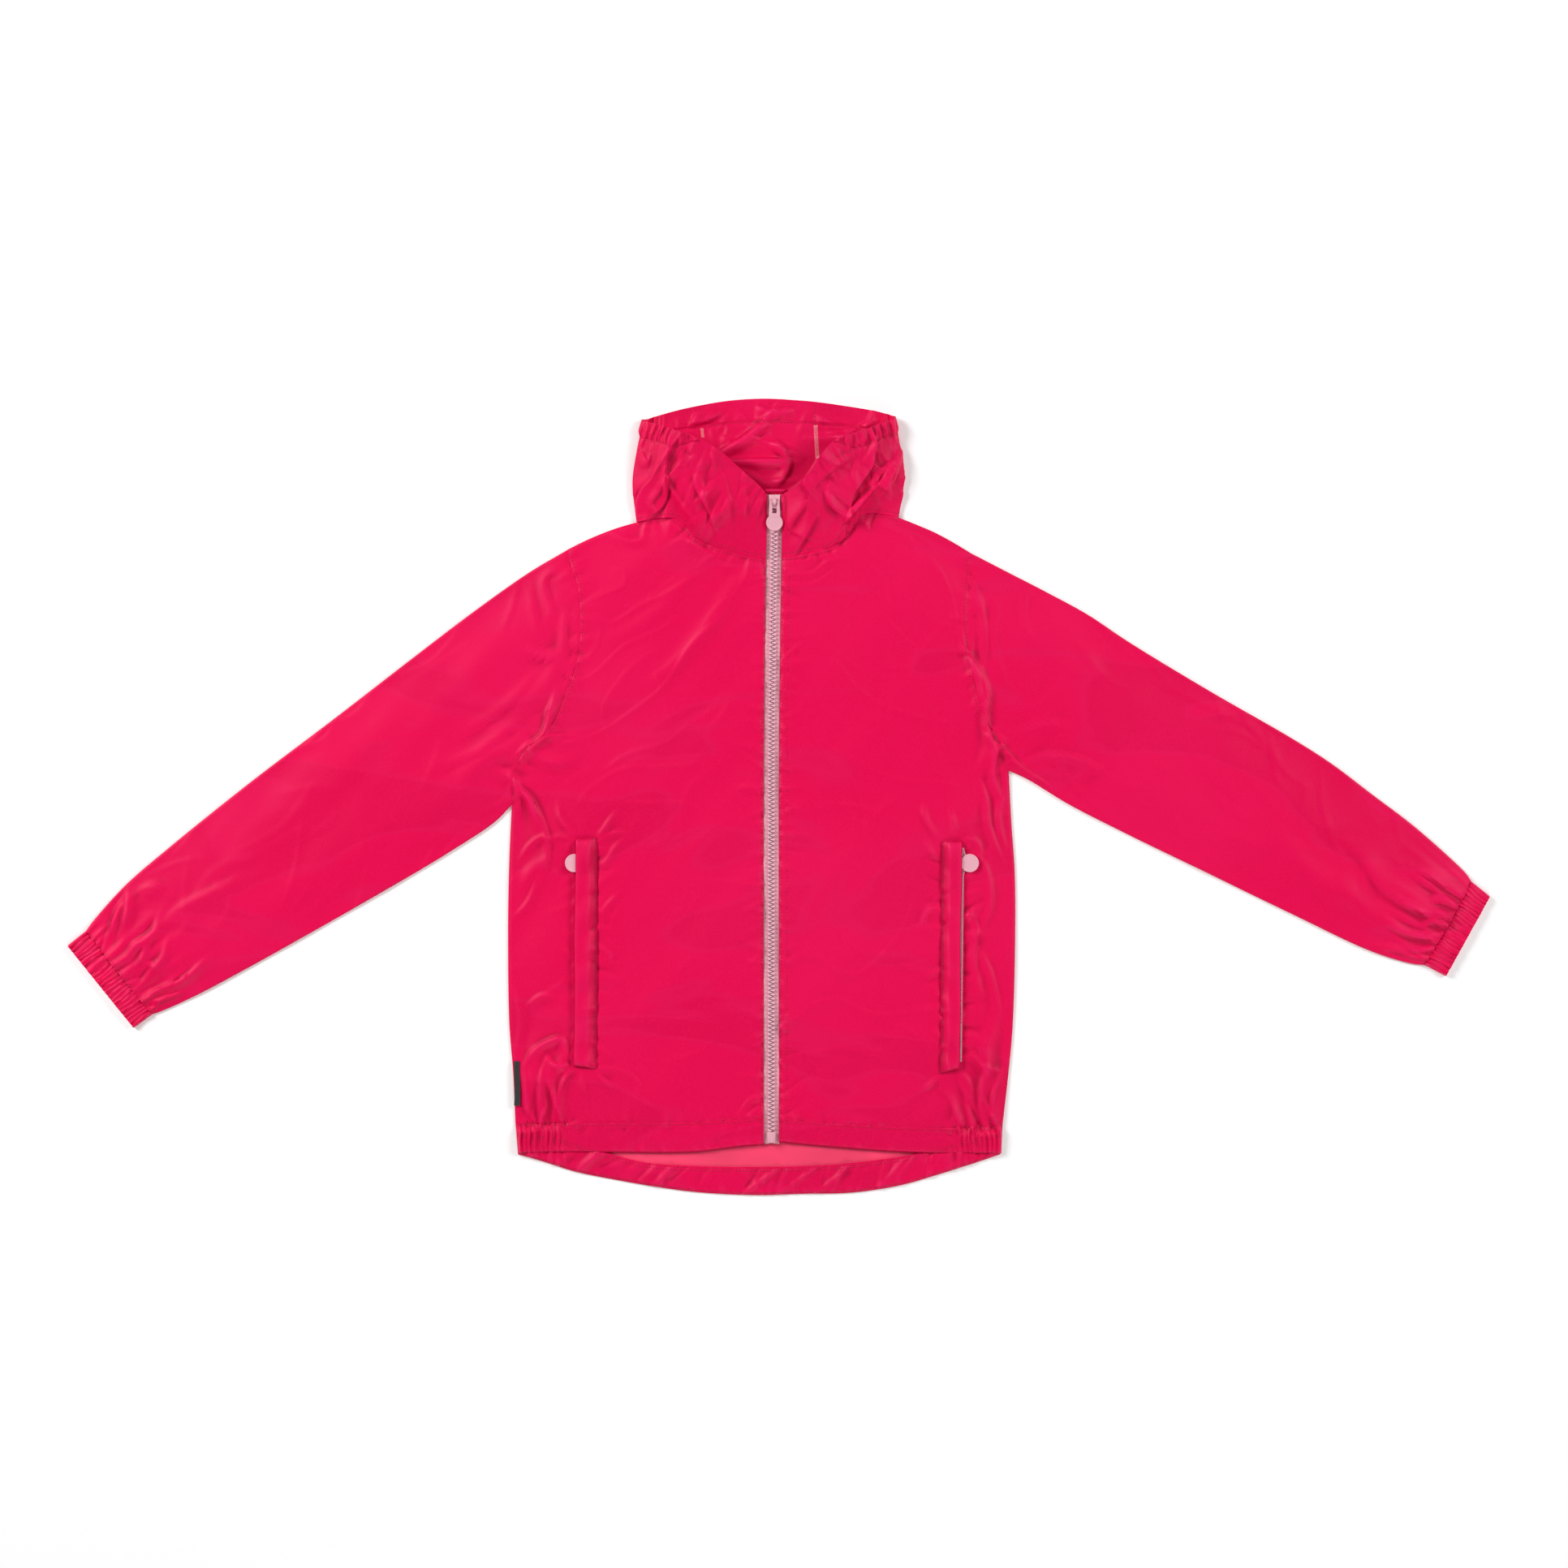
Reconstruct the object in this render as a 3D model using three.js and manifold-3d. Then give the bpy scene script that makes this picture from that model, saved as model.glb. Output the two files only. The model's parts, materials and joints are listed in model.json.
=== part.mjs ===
// A child's hooded rain jacket, zipped up and laid on its back with the sleeves spread.
// Millimetres. X runs across the chest, Y up to the hood and Z up off the surface.
// Right and left are the wearer's, so the right sleeve lies on the -X side.
import * as THREE from "three";
import { mergeVertices } from "three/addons/utils/BufferGeometryUtils.js";
import Module from "manifold-3d";

const wasm = await Module();
wasm.setup();

// Cloth: one layer's wall, the gap at a seam, and how the front layer lies over the back.
const WALL = 1.2;
const SEAM = 0.3;
const EDGE_TOP = 2.7;
const LOFT = 2.6;
const LOFT_REACH = 45;
const FOLD_EDGE = 1.35;

// Front zip: width between the cloth edges, tape, chain and how it climbs into the hood.
const ZIP_OPENING = 12.6;
const TAPE_WIDTH = 12;
const CHAIN_WIDTH = 6;
const ZIP_LEVELS = { tapeLow: 2.7, tapeHigh: 3.3, chainLow: 3.6, chainHigh: 6 };
const CLIMB_START = 188;
const CLIMB_EASE = 20;
const CLIMB_SLOPE = 0.14;
const ZIP_ENDS = { from: -282, to: 245 };
const CHAIN_ENDS = { from: -272, to: 243 };
const SLIDER_Y = 240;

// Elastic: gathers on each cuff, above each cuff, at each end of the hem and at each temple of the hood.
const CUFF_GATHERS = 18;
const SLEEVE_GATHERS = 8;
const HEM_GATHERS = 8;
const TEMPLE_GATHERS = 9;
const GATHER_HEIGHT = 0.9;
const SLEEVE_GATHER = { reach: 0.16, height: 2.4, insideShare: 0.6 };
const HEM_ELASTIC = { reach: 0.2, columnShare: 0.84 };
const FRONT_HEM = { low: 3.7, thickness: 1.4 };
const BACK_HEM = { low: WALL + SEAM, thickness: 1.4 };

// Plan outlines, each a smooth line through its points.
const SHOULDER_RIGHT = [[-171, 201], [-157, 208], [-143, 214], [-129, 219]];
const SHOULDER_LEFT = [[112, 221], [126, 215], [141, 207], [156, 198]];
const ARMHOLE_RIGHT = [
  [-217, -7], [-216.5, 12], [-212, 29], [-201, 43], [-186, 55], [-173, 83], [-163, 113], [-161, 142],
  [-163, 170], [-169, 189], [-171, 201],
];
const ARMHOLE_LEFT = [
  [187, 21], [186, 32], [181, 42], [172, 57], [163, 74], [157, 100], [154, 119], [153, 141], [153, 165],
  [155, 181], [156, 198],
];
const SIDE_RIGHT = [[-214, -266], [-216, -223], [-219, -184], [-220, -105], [-219, -52], [-217, -7]];
const SIDE_LEFT = [[182, -267], [187, -223], [190, -190], [192, -131], [192, -65], [189, -19], [187, 21]];
const HEM_SEAM_RIGHT = [[-214, -266], [-173, -265], [-62, -264], [-12.3, -261]];
const HEM_SEAM_LEFT = [[0.3, -262], [59, -266], [99, -268], [158, -269], [182, -267]];
const HEM_EDGE_RIGHT = [[-212, -290], [-171, -289], [-69, -289], [-36, -285], [-12.3, -283]];
const HEM_EDGE_LEFT = [[0.3, -281], [45, -285], [99, -289], [153, -290], [181, -290]];
const TAIL = [
  [-212, -291], [-194, -296], [-165, -305], [-130, -312], [-95, -318], [-62, -322], [-17, -324], [18, -323],
  [59, -322], [99, -316], [134, -306], [153, -300], [180, -291],
];
const TAIL_SEAM = [
  [-212, -272], [-178, -277], [-141, -289], [-111, -297], [-73, -300], [-9, -301], [45, -299], [83, -295],
  [113, -290], [146, -280], [180, -272],
];
const OVERARM_RIGHT = [
  [-171, 201], [-203, 182], [-247, 151], [-297, 113], [-363, 62], [-429, 12], [-495, -41], [-531, -72],
  [-558, -102], [-563, -109],
];
const UNDERARM_RIGHT = [
  [-217, -7], [-231, -21], [-264, -43], [-297, -63], [-363, -101], [-429, -138], [-472, -161], [-503, -175],
  [-509, -177],
];
const OVERARM_LEFT = [
  [156, 198], [185, 183], [218, 166], [251, 148], [284, 126], [350, 86], [416, 48], [449, 27], [482, 2],
  [515, -23], [548, -52], [559, -63], [563, -69],
];
const UNDERARM_LEFT = [
  [187, 21], [202, 14], [235, -6], [284, -31], [350, -63], [416, -95], [482, -126], [515, -136], [525, -137],
];
const CUFF_RIGHT = { over: [-578, -121], under: [-524, -188] };
const CUFF_LEFT = { over: [578, -81], under: [542, -146] };
const ZIP_LINE = [
  [-3.4, 252], [-3.5, 219], [-4, 192], [-5, 120], [-5.8, 54], [-6, -12], [-6, -144], [-6, -283],
];

// The largest folds of the front layer and sleeves: a soft ridge between two points, bowed sideways.
const FOLDS = [
  { from: [-27, 188], to: [-112, 82], bow: 8, width: 7, height: 1.6 },
  { from: [-60, 196], to: [-150, 120], bow: 10, width: 8, height: 1.4 },
  { from: [-205, 38], to: [-160, 30], bow: -6, width: 6, height: 2.0 },
  { from: [-215, 12], to: [-196, -38], bow: 5, width: 5, height: 2.2 },
  { from: [-213, -80], to: [-186, -48], bow: 3, width: 6, height: 1.8 },
  { from: [-196, -262], to: [-160, -205], bow: 9, width: 7, height: 1.8 },
  { from: [-205, -262], to: [-200, -190], bow: -4, width: 6, height: 1.6 },
  { from: [170, 60], to: [160, 15], bow: 5, width: 6, height: 2.0 },
  { from: [186, 25], to: [228, -8], bow: 5, width: 6, height: 2.0 },
  { from: [176, -262], to: [158, -190], bow: -6, width: 7, height: 2.0 },
  { from: [166, -250], to: [186, -160], bow: 6, width: 7, height: 1.8 },
  { from: [150, 150], to: [96, 200], bow: -12, width: 9, height: 1.4 },
  { from: [-172, 120], to: [-220, 70], bow: 8, width: 9, height: 1.6 },
  { from: [-200, 45], to: [-262, 10], bow: -6, width: 8, height: 1.8 },
  { from: [474, -88], to: [400, -20], bow: 10, width: 10, height: 1.6 },
  { from: [512, -110], to: [452, -62], bow: 8, width: 8, height: 1.6 },
];

// The hood, from the right edge of the zip round the right temple, the back and the left temple to the zip.
// Each row is one line up the hood: its foot on the neckline, its middle and its rim, as X, Y and the
// height of the cloth's mid-surface.
const HOOD = [
  { name: "zip_right", neck: [-10.3, 193, 4.7], waist: [-9.8, 219, 7.6], rim: [-9.8, 244, 11.1] },
  { name: "throat_right", neck: [-23, 195, 4.7], waist: [-21, 222, 10], rim: [-17, 253, 17] },
  { name: "throat_right_2", neck: [-38, 199, 4.7], waist: [-37, 232, 13], rim: [-32, 266, 23] },
  { name: "cheek_right", neck: [-52, 203, 4.7], waist: [-54, 241, 16], rim: [-48, 280, 27] },
  { name: "peak_right", neck: [-65, 209, 4.7], waist: [-74, 250, 18], rim: [-64, 289, 29] },
  { name: "jaw_right", neck: [-75, 219, 4.5], waist: [-87, 257, 13], rim: [-78, 295, 27] },
  { name: "temple_right", neck: [-85, 226, 4.3], waist: [-99, 260, 10], rim: [-89, 299, 20] },
  { name: "temple_right_2", neck: [-99, 226, 4.1], waist: [-110, 260, 8], rim: [-99, 302, 13] },
  { name: "side_right", neck: [-115, 223, 2.3], waist: [-118, 259, 4], rim: [-108, 305, 6.5] },
  { name: "behind_right", neck: [-107, 224.6, 0.6], waist: [-109, 262, 0.6], rim: [-99, 309, 2.2] },
  { name: "behind_right_2", neck: [-85, 227, 0.6], waist: [-86, 264, 0.6], rim: [-82, 314, 0.9] },
  { name: "panel_seam_right", neck: [-60, 224.5, 0.6], waist: [-60, 268, 0.6], rim: [-64, 318, 0.6] },
  { name: "crown_right", neck: [-36, 222.5, 0.6], waist: [-36, 271, 0.6], rim: [-39, 322, 0.6] },
  { name: "crown", neck: [-10, 221, 0.6], waist: [-10, 273, 0.6], rim: [-11, 323.5, 0.6] },
  { name: "crown_left", neck: [17, 222.5, 0.6], waist: [15, 272, 0.6], rim: [10, 322.5, 0.6] },
  { name: "panel_seam_left", neck: [38, 225.5, 0.6], waist: [32, 270, 0.6], rim: [29, 321, 0.6] },
  { name: "behind_left_2", neck: [64, 231, 0.6], waist: [66, 266, 0.6], rim: [64, 316, 0.9] },
  { name: "behind_left", neck: [89, 228.4, 0.6], waist: [92, 263, 0.6], rim: [84, 312, 2.2] },
  { name: "side_left", neck: [97, 227, 2.3], waist: [101, 260, 4], rim: [93, 308, 6.5] },
  { name: "temple_left_2", neck: [83, 229.4, 4.1], waist: [92, 258, 8], rim: [85, 304, 13] },
  { name: "temple_left", neck: [70, 230, 4.3], waist: [81, 257, 10], rim: [73, 299, 20] },
  { name: "jaw_left", neck: [61, 224, 4.5], waist: [66, 253, 13], rim: [58, 293, 26] },
  { name: "peak_left", neck: [55, 214, 4.7], waist: [51, 248, 17], rim: [45, 288, 28] },
  { name: "cheek_left", neck: [45, 204, 4.7], waist: [38, 240, 16], rim: [35, 278, 27] },
  { name: "throat_left_2", neck: [30, 199, 4.7], waist: [24, 228, 13], rim: [27, 265, 23] },
  { name: "throat_left", neck: [16, 196, 4.7], waist: [12, 221, 10], rim: [15, 252, 17] },
  { name: "zip_left", neck: [2.3, 194, 4.7], waist: [2.8, 219, 7.6], rim: [2.8, 245, 11.1] },
];
const stationOf = (name) => HOOD.findIndex((row) => row.name === name);
const stations = (from, to) => HOOD.slice(stationOf(from), stationOf(to) + 1);
const neckRow = (from, to) => stations(from, to).map((row) => row.neck.slice(0, 2));
const NECK_RIGHT = neckRow("zip_right", "side_right").reverse();
const NECK_BACK = neckRow("side_right", "side_left");
const NECK_LEFT = neckRow("side_left", "zip_left").reverse();
const CASING_START = 0.83;
const CASING_TIP = 0.985;
const HOOD_STEPS = 3;
const HOOD_ROWS = 5;
const CASING_ROWS = 2;

// Pockets: a welt over an upright zip on each front, and the zip pull that lies out from under it.
const POCKETS = {
  right: {
    inner: [[-147.5, -33], [-148, -221]], free: [[-165, -34], [-166.5, -219]],
    out: -1, pull: [-166, -54], shown: -1.5,
  },
  left: {
    inner: [[132.5, -36], [131, -225]], free: [[149, -36], [147, -221]],
    out: 1, pull: [155, -54], shown: 2,
  },
};
const WELT = { thickness: 1.2, lift: 3.4 };
const POCKET_TAPE = { width: 11, thickness: 0.8, from: 0.03, to: 0.97 };
const POCKET_PULL = {
  radius: 7.4, thickness: 1.6, stem: 9, stemWidth: 4, stemUp: 2.5, lift: 0.9, tilt: 0.03,
};
const POCKET_ROWS = 8;
const POCKET_COLUMNS = 4;

const FRONT_PULL = {
  radius: 6.7, drop: 17, frameWidth: 8.3, window: 3.7, windowInDisc: 0.9, bar: 1.4, thickness: 1.4,
  tilt: 0.06, clearance: 1,
};
const SLIDER = {
  width: 9.4, length: 11, wall: 1.2, bridgeWidth: 2.4, bridgeReach: 3, bridgeTop: 11.3,
  bridgeRound: 1, sunk: 0.2,
};
const STOP_BOX = { width: 7, length: 9, height: 3.4 };
const LABEL = { corner: [-215, -215], width: 5, length: 36, thickness: 1, rows: 4 };
const CHIN_GUARD = { from: 204, to: 249, halfWidth: 11, low: 1.2, thickness: 0.8, lip: 3.2, lipFrom: 245.5 };

const finish = (red, green, blue, roughness) =>
  new THREE.MeshStandardMaterial({ color: new THREE.Color(red, green, blue), roughness, metalness: 0 });
const cloth = finish(0.84, 0.02, 0.1, 0.42);
const tapeFinish = finish(0.72, 0.34, 0.42, 0.85);
const plasticFinish = finish(0.74, 0.38, 0.46, 0.4);
const labelFinish = finish(0.02, 0.02, 0.02, 0.7);

const jacket = new THREE.Group();

function add(name, geometry, material, parent = jacket) {
  const mesh = new THREE.Mesh(geometry, material);
  mesh.name = name;
  parent.add(mesh);
  return mesh;
}

const zero = () => 0;
const smooth = (x) => THREE.MathUtils.smoothstep(x, 0, 1);
const point = ([x, y, z = 0]) => new THREE.Vector3(x, y, z);
const through = (points) => new THREE.CatmullRomCurve3(points, false, "centripetal");
const line = (points) => through(points.map(point));

// A line's points moved sideways in plan, to the left of its direction.
function shifted(points, distance) {
  return points.map((p, i) => {
    const next = points[Math.min(i + 1, points.length - 1)];
    const direction = next.clone().sub(points[Math.max(i - 1, 0)]).setZ(0).normalize();
    return new THREE.Vector3(p.x - direction.y * distance, p.y + direction.x * distance, p.z);
  });
}

// How far up each point of a line lies, as shares of its length.
function shares(points) {
  const run = [0];
  points.slice(1).forEach((p, i) => run.push(run[i] + p.distanceTo(points[i])));
  return run.map((r) => r / run[run.length - 1]);
}

// A plan grid that fills four edges. Near and far have a point for each row, bottom and top for each column.
function patch(near, far, bottom, top) {
  const [up, across] = [shares(near), shares(top)];
  const lastColumn = top.length - 1;
  return up.map((v, i) =>
    across.map((u, j) => {
      const p = near[i].clone().multiplyScalar(1 - u).addScaledVector(far[i], u);
      p.addScaledVector(bottom[j], 1 - v).addScaledVector(top[j], v);
      p.addScaledVector(near[0], -(1 - u) * (1 - v)).addScaledVector(far[0], -u * (1 - v));
      return p.addScaledVector(top[0], -(1 - u) * v).addScaledVector(top[lastColumn], -u * v).setZ(0);
    }),
  );
}

// A closed wall between two grids of points. A round one joins each row's last point to its first.
function wall(outer, inner, round = false) {
  const rows = outer.length;
  const columns = outer[0].length;
  const last = round ? columns : columns - 1;
  const end = rows - 1;
  const corners = [outer, inner].flatMap((grid) => grid.flat());
  const position = corners.flatMap((p) => [p.x, p.y, p.z]);
  const index = [];
  const at = (layer, i, j) => (layer * rows + i) * columns + (j % columns);
  const quad = (a, b, c, d) => index.push(a, b, c, a, c, d);
  for (let j = 0; j < last; j++) {
    for (let i = 0; i < end; i++) {
      quad(at(0, i, j), at(0, i, j + 1), at(0, i + 1, j + 1), at(0, i + 1, j));
      quad(at(1, i, j), at(1, i + 1, j), at(1, i + 1, j + 1), at(1, i, j + 1));
    }
    quad(at(0, 0, j), at(1, 0, j), at(1, 0, j + 1), at(0, 0, j + 1));
    quad(at(0, end, j), at(0, end, j + 1), at(1, end, j + 1), at(1, end, j));
  }
  for (let i = 0; i < end && !round; i++) {
    quad(at(0, i, 0), at(0, i + 1, 0), at(1, i + 1, 0), at(1, i, 0));
    quad(at(0, i, last), at(1, i, last), at(1, i + 1, last), at(0, i + 1, last));
  }
  return facingOut(position, index);
}

// A geometry from points and triangles, turned round if its faces point inwards.
function facingOut(position, index) {
  const corner = (k) => new THREE.Vector3().fromArray(position, index[k] * 3);
  let volume = 0;
  for (let k = 0; k < index.length; k += 3) volume += corner(k).dot(corner(k + 1).cross(corner(k + 2)));
  if (volume < 0) index.reverse();
  const geometry = new THREE.BufferGeometry();
  geometry.setAttribute("position", new THREE.Float32BufferAttribute(position, 3));
  return geometry.setIndex(index);
}

// A panel lying in plan, from its top height down through its thickness. The underside may be plainer.
function panel(grid, top, thickness, underTop = top) {
  const layer = (height, down) =>
    grid.map((row) => row.map((p, j) => new THREE.Vector3(p.x, p.y, height(p, j) - down)));
  return wall(layer(top, 0), layer(underTop, thickness));
}

function toSolid(geometry) {
  const bare = new THREE.BufferGeometry();
  bare.setAttribute("position", geometry.getAttribute("position")).setIndex(geometry.index);
  const merged = mergeVertices(bare);
  const mesh = new wasm.Mesh({
    numProp: 3,
    vertProperties: new Float32Array(merged.getAttribute("position").array),
    triVerts: new Uint32Array(merged.index.array),
  });
  return new wasm.Manifold(mesh);
}

// Several overlapping geometries joined into one closed body.
function joined(...geometries) {
  const mesh = geometries.map(toSolid).reduce((whole, solid) => whole.add(solid)).getMesh();
  return facingOut(Array.from(mesh.vertProperties), Array.from(mesh.triVerts));
}

// The jacket's edge where the front layer comes down to the back, as plan segments.
const rim = [
  [...OVERARM_RIGHT, CUFF_RIGHT.over],
  [...UNDERARM_RIGHT, CUFF_RIGHT.under],
  [...OVERARM_LEFT, CUFF_LEFT.over],
  [...UNDERARM_LEFT, CUFF_LEFT.under],
  SIDE_RIGHT.slice(1),
  SIDE_LEFT.slice(1),
  [...SHOULDER_RIGHT, NECK_RIGHT[0]],
  [NECK_LEFT[NECK_LEFT.length - 1], ...SHOULDER_LEFT],
].flatMap((points) => points.slice(1).map((p, i) => new THREE.Line3(point(points[i]), point(p))));

function edgeDistance(x, y) {
  const at = new THREE.Vector3(x, y, 0);
  const nearest = new THREE.Vector3();
  return Math.min(...rim.map((side) => side.closestPointToPoint(at, true, nearest).distanceTo(at)));
}

function foldHeight(x, y) {
  return FOLDS.reduce((sum, { from, to, bow, width, height }) => {
    const [runX, runY] = [to[0] - from[0], to[1] - from[1]];
    const [dx, dy] = [x - from[0], y - from[1]];
    const length = Math.hypot(runX, runY);
    const share = (dx * runX + dy * runY) / length ** 2;
    if (share <= 0 || share >= 1) return sum;
    const lift = Math.sin(Math.PI * share);
    const offset = (dy * runX - dx * runY) / length - bow * lift;
    return sum + height * lift * Math.exp(-((offset / width) ** 2));
  }, 0);
}

// Top of the front layer and of the sleeves.
function clothTop(x, y) {
  const inside = smooth(edgeDistance(x, y) / LOFT_REACH);
  return EDGE_TOP + LOFT * inside + foldHeight(x, y) * Math.min(1, inside * 4);
}

// How far the zip and the cloth beside it have climbed at Y: an easy start and then a steady slope.
function climb(y) {
  const past = Math.max(0, y - CLIMB_START);
  const eased = Math.min(past, CLIMB_EASE);
  return CLIMB_SLOPE * (eased ** 2 / (2 * CLIMB_EASE) + past - eased);
}

const ZIP_SAMPLES = 200;
const zipPoints = line(ZIP_LINE).getSpacedPoints(ZIP_SAMPLES);

function zipX(y) {
  const k = zipPoints.findIndex((p) => p.y <= y);
  if (k <= 0) return zipPoints[k < 0 ? zipPoints.length - 1 : 0].x;
  const [a, b] = [zipPoints[k - 1], zipPoints[k]];
  return THREE.MathUtils.mapLinear(y, a.y, b.y, a.x, b.x);
}

// The body. Where pieces meet they share one broken line, each set back from it by half a seam gap.
const SIDE_ROWS = 12;
const BACK_SIDE_ROWS = 6;
const NEAR_EDGE = 0.012;
const LONGEST_TOP_PIECE = 14.5;

// Stations round a sleeve: over the top from the overarm edge to the underarm edge, then back below.
function ringOf(top, under) {
  const middle = Array.from({ length: top - 3 }, (_, k) => (k + 1) / (top - 2));
  const over = [0, NEAR_EDGE, ...middle, 1 - NEAR_EDGE, 1];
  const below = Array.from({ length: under }, (_, k) => 1 - (k + 0.35) / (under - 0.3));
  return [
    ...over.map((s) => ({ s, above: true, edge: s === 0 || s === 1 })),
    ...below.map((s) => ({ s, above: false, edge: false })),
  ];
}
const SLEEVE_TOP_STATIONS = 22;
const SLEEVE_UNDER_STATIONS = 12;
const SLEEVE_RING = ringOf(SLEEVE_TOP_STATIONS, SLEEVE_UNDER_STATIONS);
const aboveStations = SLEEVE_RING.filter((r) => r.above).map((r) => r.s);
const belowStations = [0, ...SLEEVE_RING.filter((r) => !r.above).map((r) => r.s).reverse(), 1];
const pointsAt = (curve, stations) => stations.map((s) => curve.getPointAt(s));
const armholeDown = (armhole, stations) => pointsAt(line([...armhole].reverse()), stations);

function sideEdge(side, rows, armhole, stations, inward) {
  const up = armholeDown(armhole, stations).reverse();
  return shifted([...line(side).getSpacedPoints(rows), ...up.slice(1)], (inward * SEAM) / 2);
}

// A broken line with a point added in the middle of each of its longer pieces.
function halved(points, longest) {
  return points.flatMap((p, i) => {
    const next = points[i + 1];
    return next && next.distanceTo(p) > longest ? [p, p.clone().lerp(next, 0.5)] : [p];
  });
}

// Brings the last point of a side edge and the matching end of the top edge to one corner.
function joinCorner(side, top, end, tip) {
  const corner = side[side.length - 1].clone().add(top[end]).sub(tip);
  side[side.length - 1].copy(corner);
  top[end].copy(corner);
}

function front(name, out) {
  const right = out < 0;
  const shoulder = right ? [...SHOULDER_RIGHT, ...NECK_RIGHT] : [...NECK_LEFT, ...SHOULDER_LEFT];
  const top = shifted(halved(shoulder.map(point), LONGEST_TOP_PIECE), -SEAM / 2);
  const near = right
    ? sideEdge(SIDE_RIGHT, SIDE_ROWS, ARMHOLE_RIGHT, aboveStations, -1)
    : sideEdge(SIDE_LEFT, SIDE_ROWS, ARMHOLE_LEFT, aboveStations, 1);
  if (!right) top.reverse();
  joinCorner(near, top, 0, point(right ? SHOULDER_RIGHT[0] : SHOULDER_LEFT[3]));
  const hem = right ? HEM_SEAM_RIGHT : [...HEM_SEAM_LEFT].reverse();
  near[0].copy(point(hem[0]));
  const corner = top[top.length - 1];
  const foot = hem[hem.length - 1];
  const edge = [-200, -100, 0, 100].map((y) => [zipX(y) + (out * ZIP_OPENING) / 2, y]);
  const far = pointsAt(line([foot, ...edge, [corner.x, corner.y]]), shares(near));
  const grid = patch(near, far, pointsAt(line(hem), shares(top)), top);
  add(name, panel(grid, (p) => clothTop(p.x, p.y), WALL), cloth);
}

front("front_right", -1);
front("front_left", 1);

function back() {
  const top = shifted([...SHOULDER_RIGHT, ...NECK_BACK, ...SHOULDER_LEFT].map(point), -SEAM / 2);
  const near = sideEdge(SIDE_RIGHT, BACK_SIDE_ROWS, ARMHOLE_RIGHT, belowStations, -1);
  const far = sideEdge(SIDE_LEFT, BACK_SIDE_ROWS, ARMHOLE_LEFT, belowStations, 1);
  joinCorner(near, top, 0, point(SHOULDER_RIGHT[0]));
  joinCorner(far, top, top.length - 1, point(SHOULDER_LEFT[3]));
  near.unshift(point(TAIL[0]));
  far.unshift(point(TAIL[TAIL.length - 1]));
  const grid = patch(near, far, pointsAt(line(TAIL), shares(top)), top);
  add("back", panel(grid, () => WALL, WALL), cloth);
}
back();

// A band between two plan lines, with gathers raised where the elastic runs.
function band({ seam, edge, columns, gathers, low, thickness }) {
  const spread = Array.from({ length: columns + 1 }, (_, j) => gathers.spread(j / columns));
  const grid = [pointsAt(edge, spread), pointsAt(seam, spread)];
  const top = (p, j) => low + thickness + gathers.height(j / columns);
  return panel(grid, top, thickness, () => low + thickness);
}

// How high a gather stands, counted in gathers along the elastic.
const gatherWave = (count) => (GATHER_HEIGHT * (1 - Math.cos(2 * Math.PI * count))) / 2;

// Elastic at one end of a band: it takes most of the columns, and the plain cloth takes the rest.
function elasticEnd({ reach, columnShare }, reversed = false) {
  const turn = (u) => (reversed ? 1 - u : u);
  const plain = (v) => THREE.MathUtils.mapLinear(v, columnShare, 1, reach, 1);
  return {
    spread: (u) => turn(turn(u) < columnShare ? (turn(u) / columnShare) * reach : plain(turn(u))),
    height: (u) => (turn(u) < columnShare ? gatherWave((HEM_GATHERS * turn(u)) / columnShare) : 0),
  };
}

const HEM_SAMPLES = 30;
const seamGap = (points, distance) => through(shifted(line(points).getSpacedPoints(HEM_SAMPLES), distance));
add(
  "hem_front_right",
  band({
    seam: seamGap(HEM_SEAM_RIGHT, -SEAM), edge: line(HEM_EDGE_RIGHT), columns: 4 * HEM_GATHERS + 6,
    gathers: elasticEnd(HEM_ELASTIC), ...FRONT_HEM,
  }),
  cloth,
);
add(
  "hem_front_left",
  band({
    seam: seamGap(HEM_SEAM_LEFT, -SEAM), edge: line(HEM_EDGE_LEFT), columns: 4 * HEM_GATHERS + 6,
    gathers: elasticEnd(HEM_ELASTIC, true), ...FRONT_HEM,
  }),
  cloth,
);
add(
  "hem_back",
  band({
    seam: line(TAIL_SEAM), edge: line(TAIL), columns: 24,
    gathers: { spread: (u) => u, height: zero }, ...BACK_HEM,
  }),
  cloth,
);

// A sleeve: rings from the armhole to the cuff seam, flat below and lofted above.
const SLEEVE_SECTIONS = 13;
const CAP_REACH = 0.25;
const INNER_MARGIN = 1.6;
const LEAST_HOLLOW = 0.15;

function tube({ sections, ring, plan, lift }) {
  const outer = [];
  const inner = [];
  for (let i = 0; i <= sections; i++) {
    const t = i / sections;
    const inset = WALL / plan(0, t, true).distanceTo(plan(1, t, true));
    const within = ({ s, edge }) => {
      const margin = edge ? inset : INNER_MARGIN * inset;
      return THREE.MathUtils.clamp(s, margin, 1 - margin);
    };
    const outside = ring.map((r) => plan(r.s, t, r.above));
    const top = ring.map((r, k) => clothTop(outside[k].x, outside[k].y));
    outer.push(
      outside.map((q, k) => {
        const { s, above, edge } = ring[k];
        if (edge) return q.setZ(FOLD_EDGE);
        return q.setZ(above ? top[k] + lift(s, t, false) : 0);
      }),
    );
    inner.push(
      ring.map((r, k) => {
        const q = plan(within(r), t, r.above);
        if (r.edge) return q.setZ(FOLD_EDGE);
        const hollowTop = Math.max(top[k] - WALL, FOLD_EDGE + LEAST_HOLLOW);
        return q.setZ(r.above ? hollowTop + lift(r.s, t, true) : WALL);
      }),
    );
  }
  return wall(outer, inner, true);
}

// The point at a station on a broken line whose own stations are given.
function pointAlong(points, stations, s) {
  const k = Math.max(1, stations.findIndex((v) => v >= s));
  return points[k - 1].clone().lerp(points[k], (s - stations[k - 1]) / (stations[k] - stations[k - 1]));
}

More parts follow.
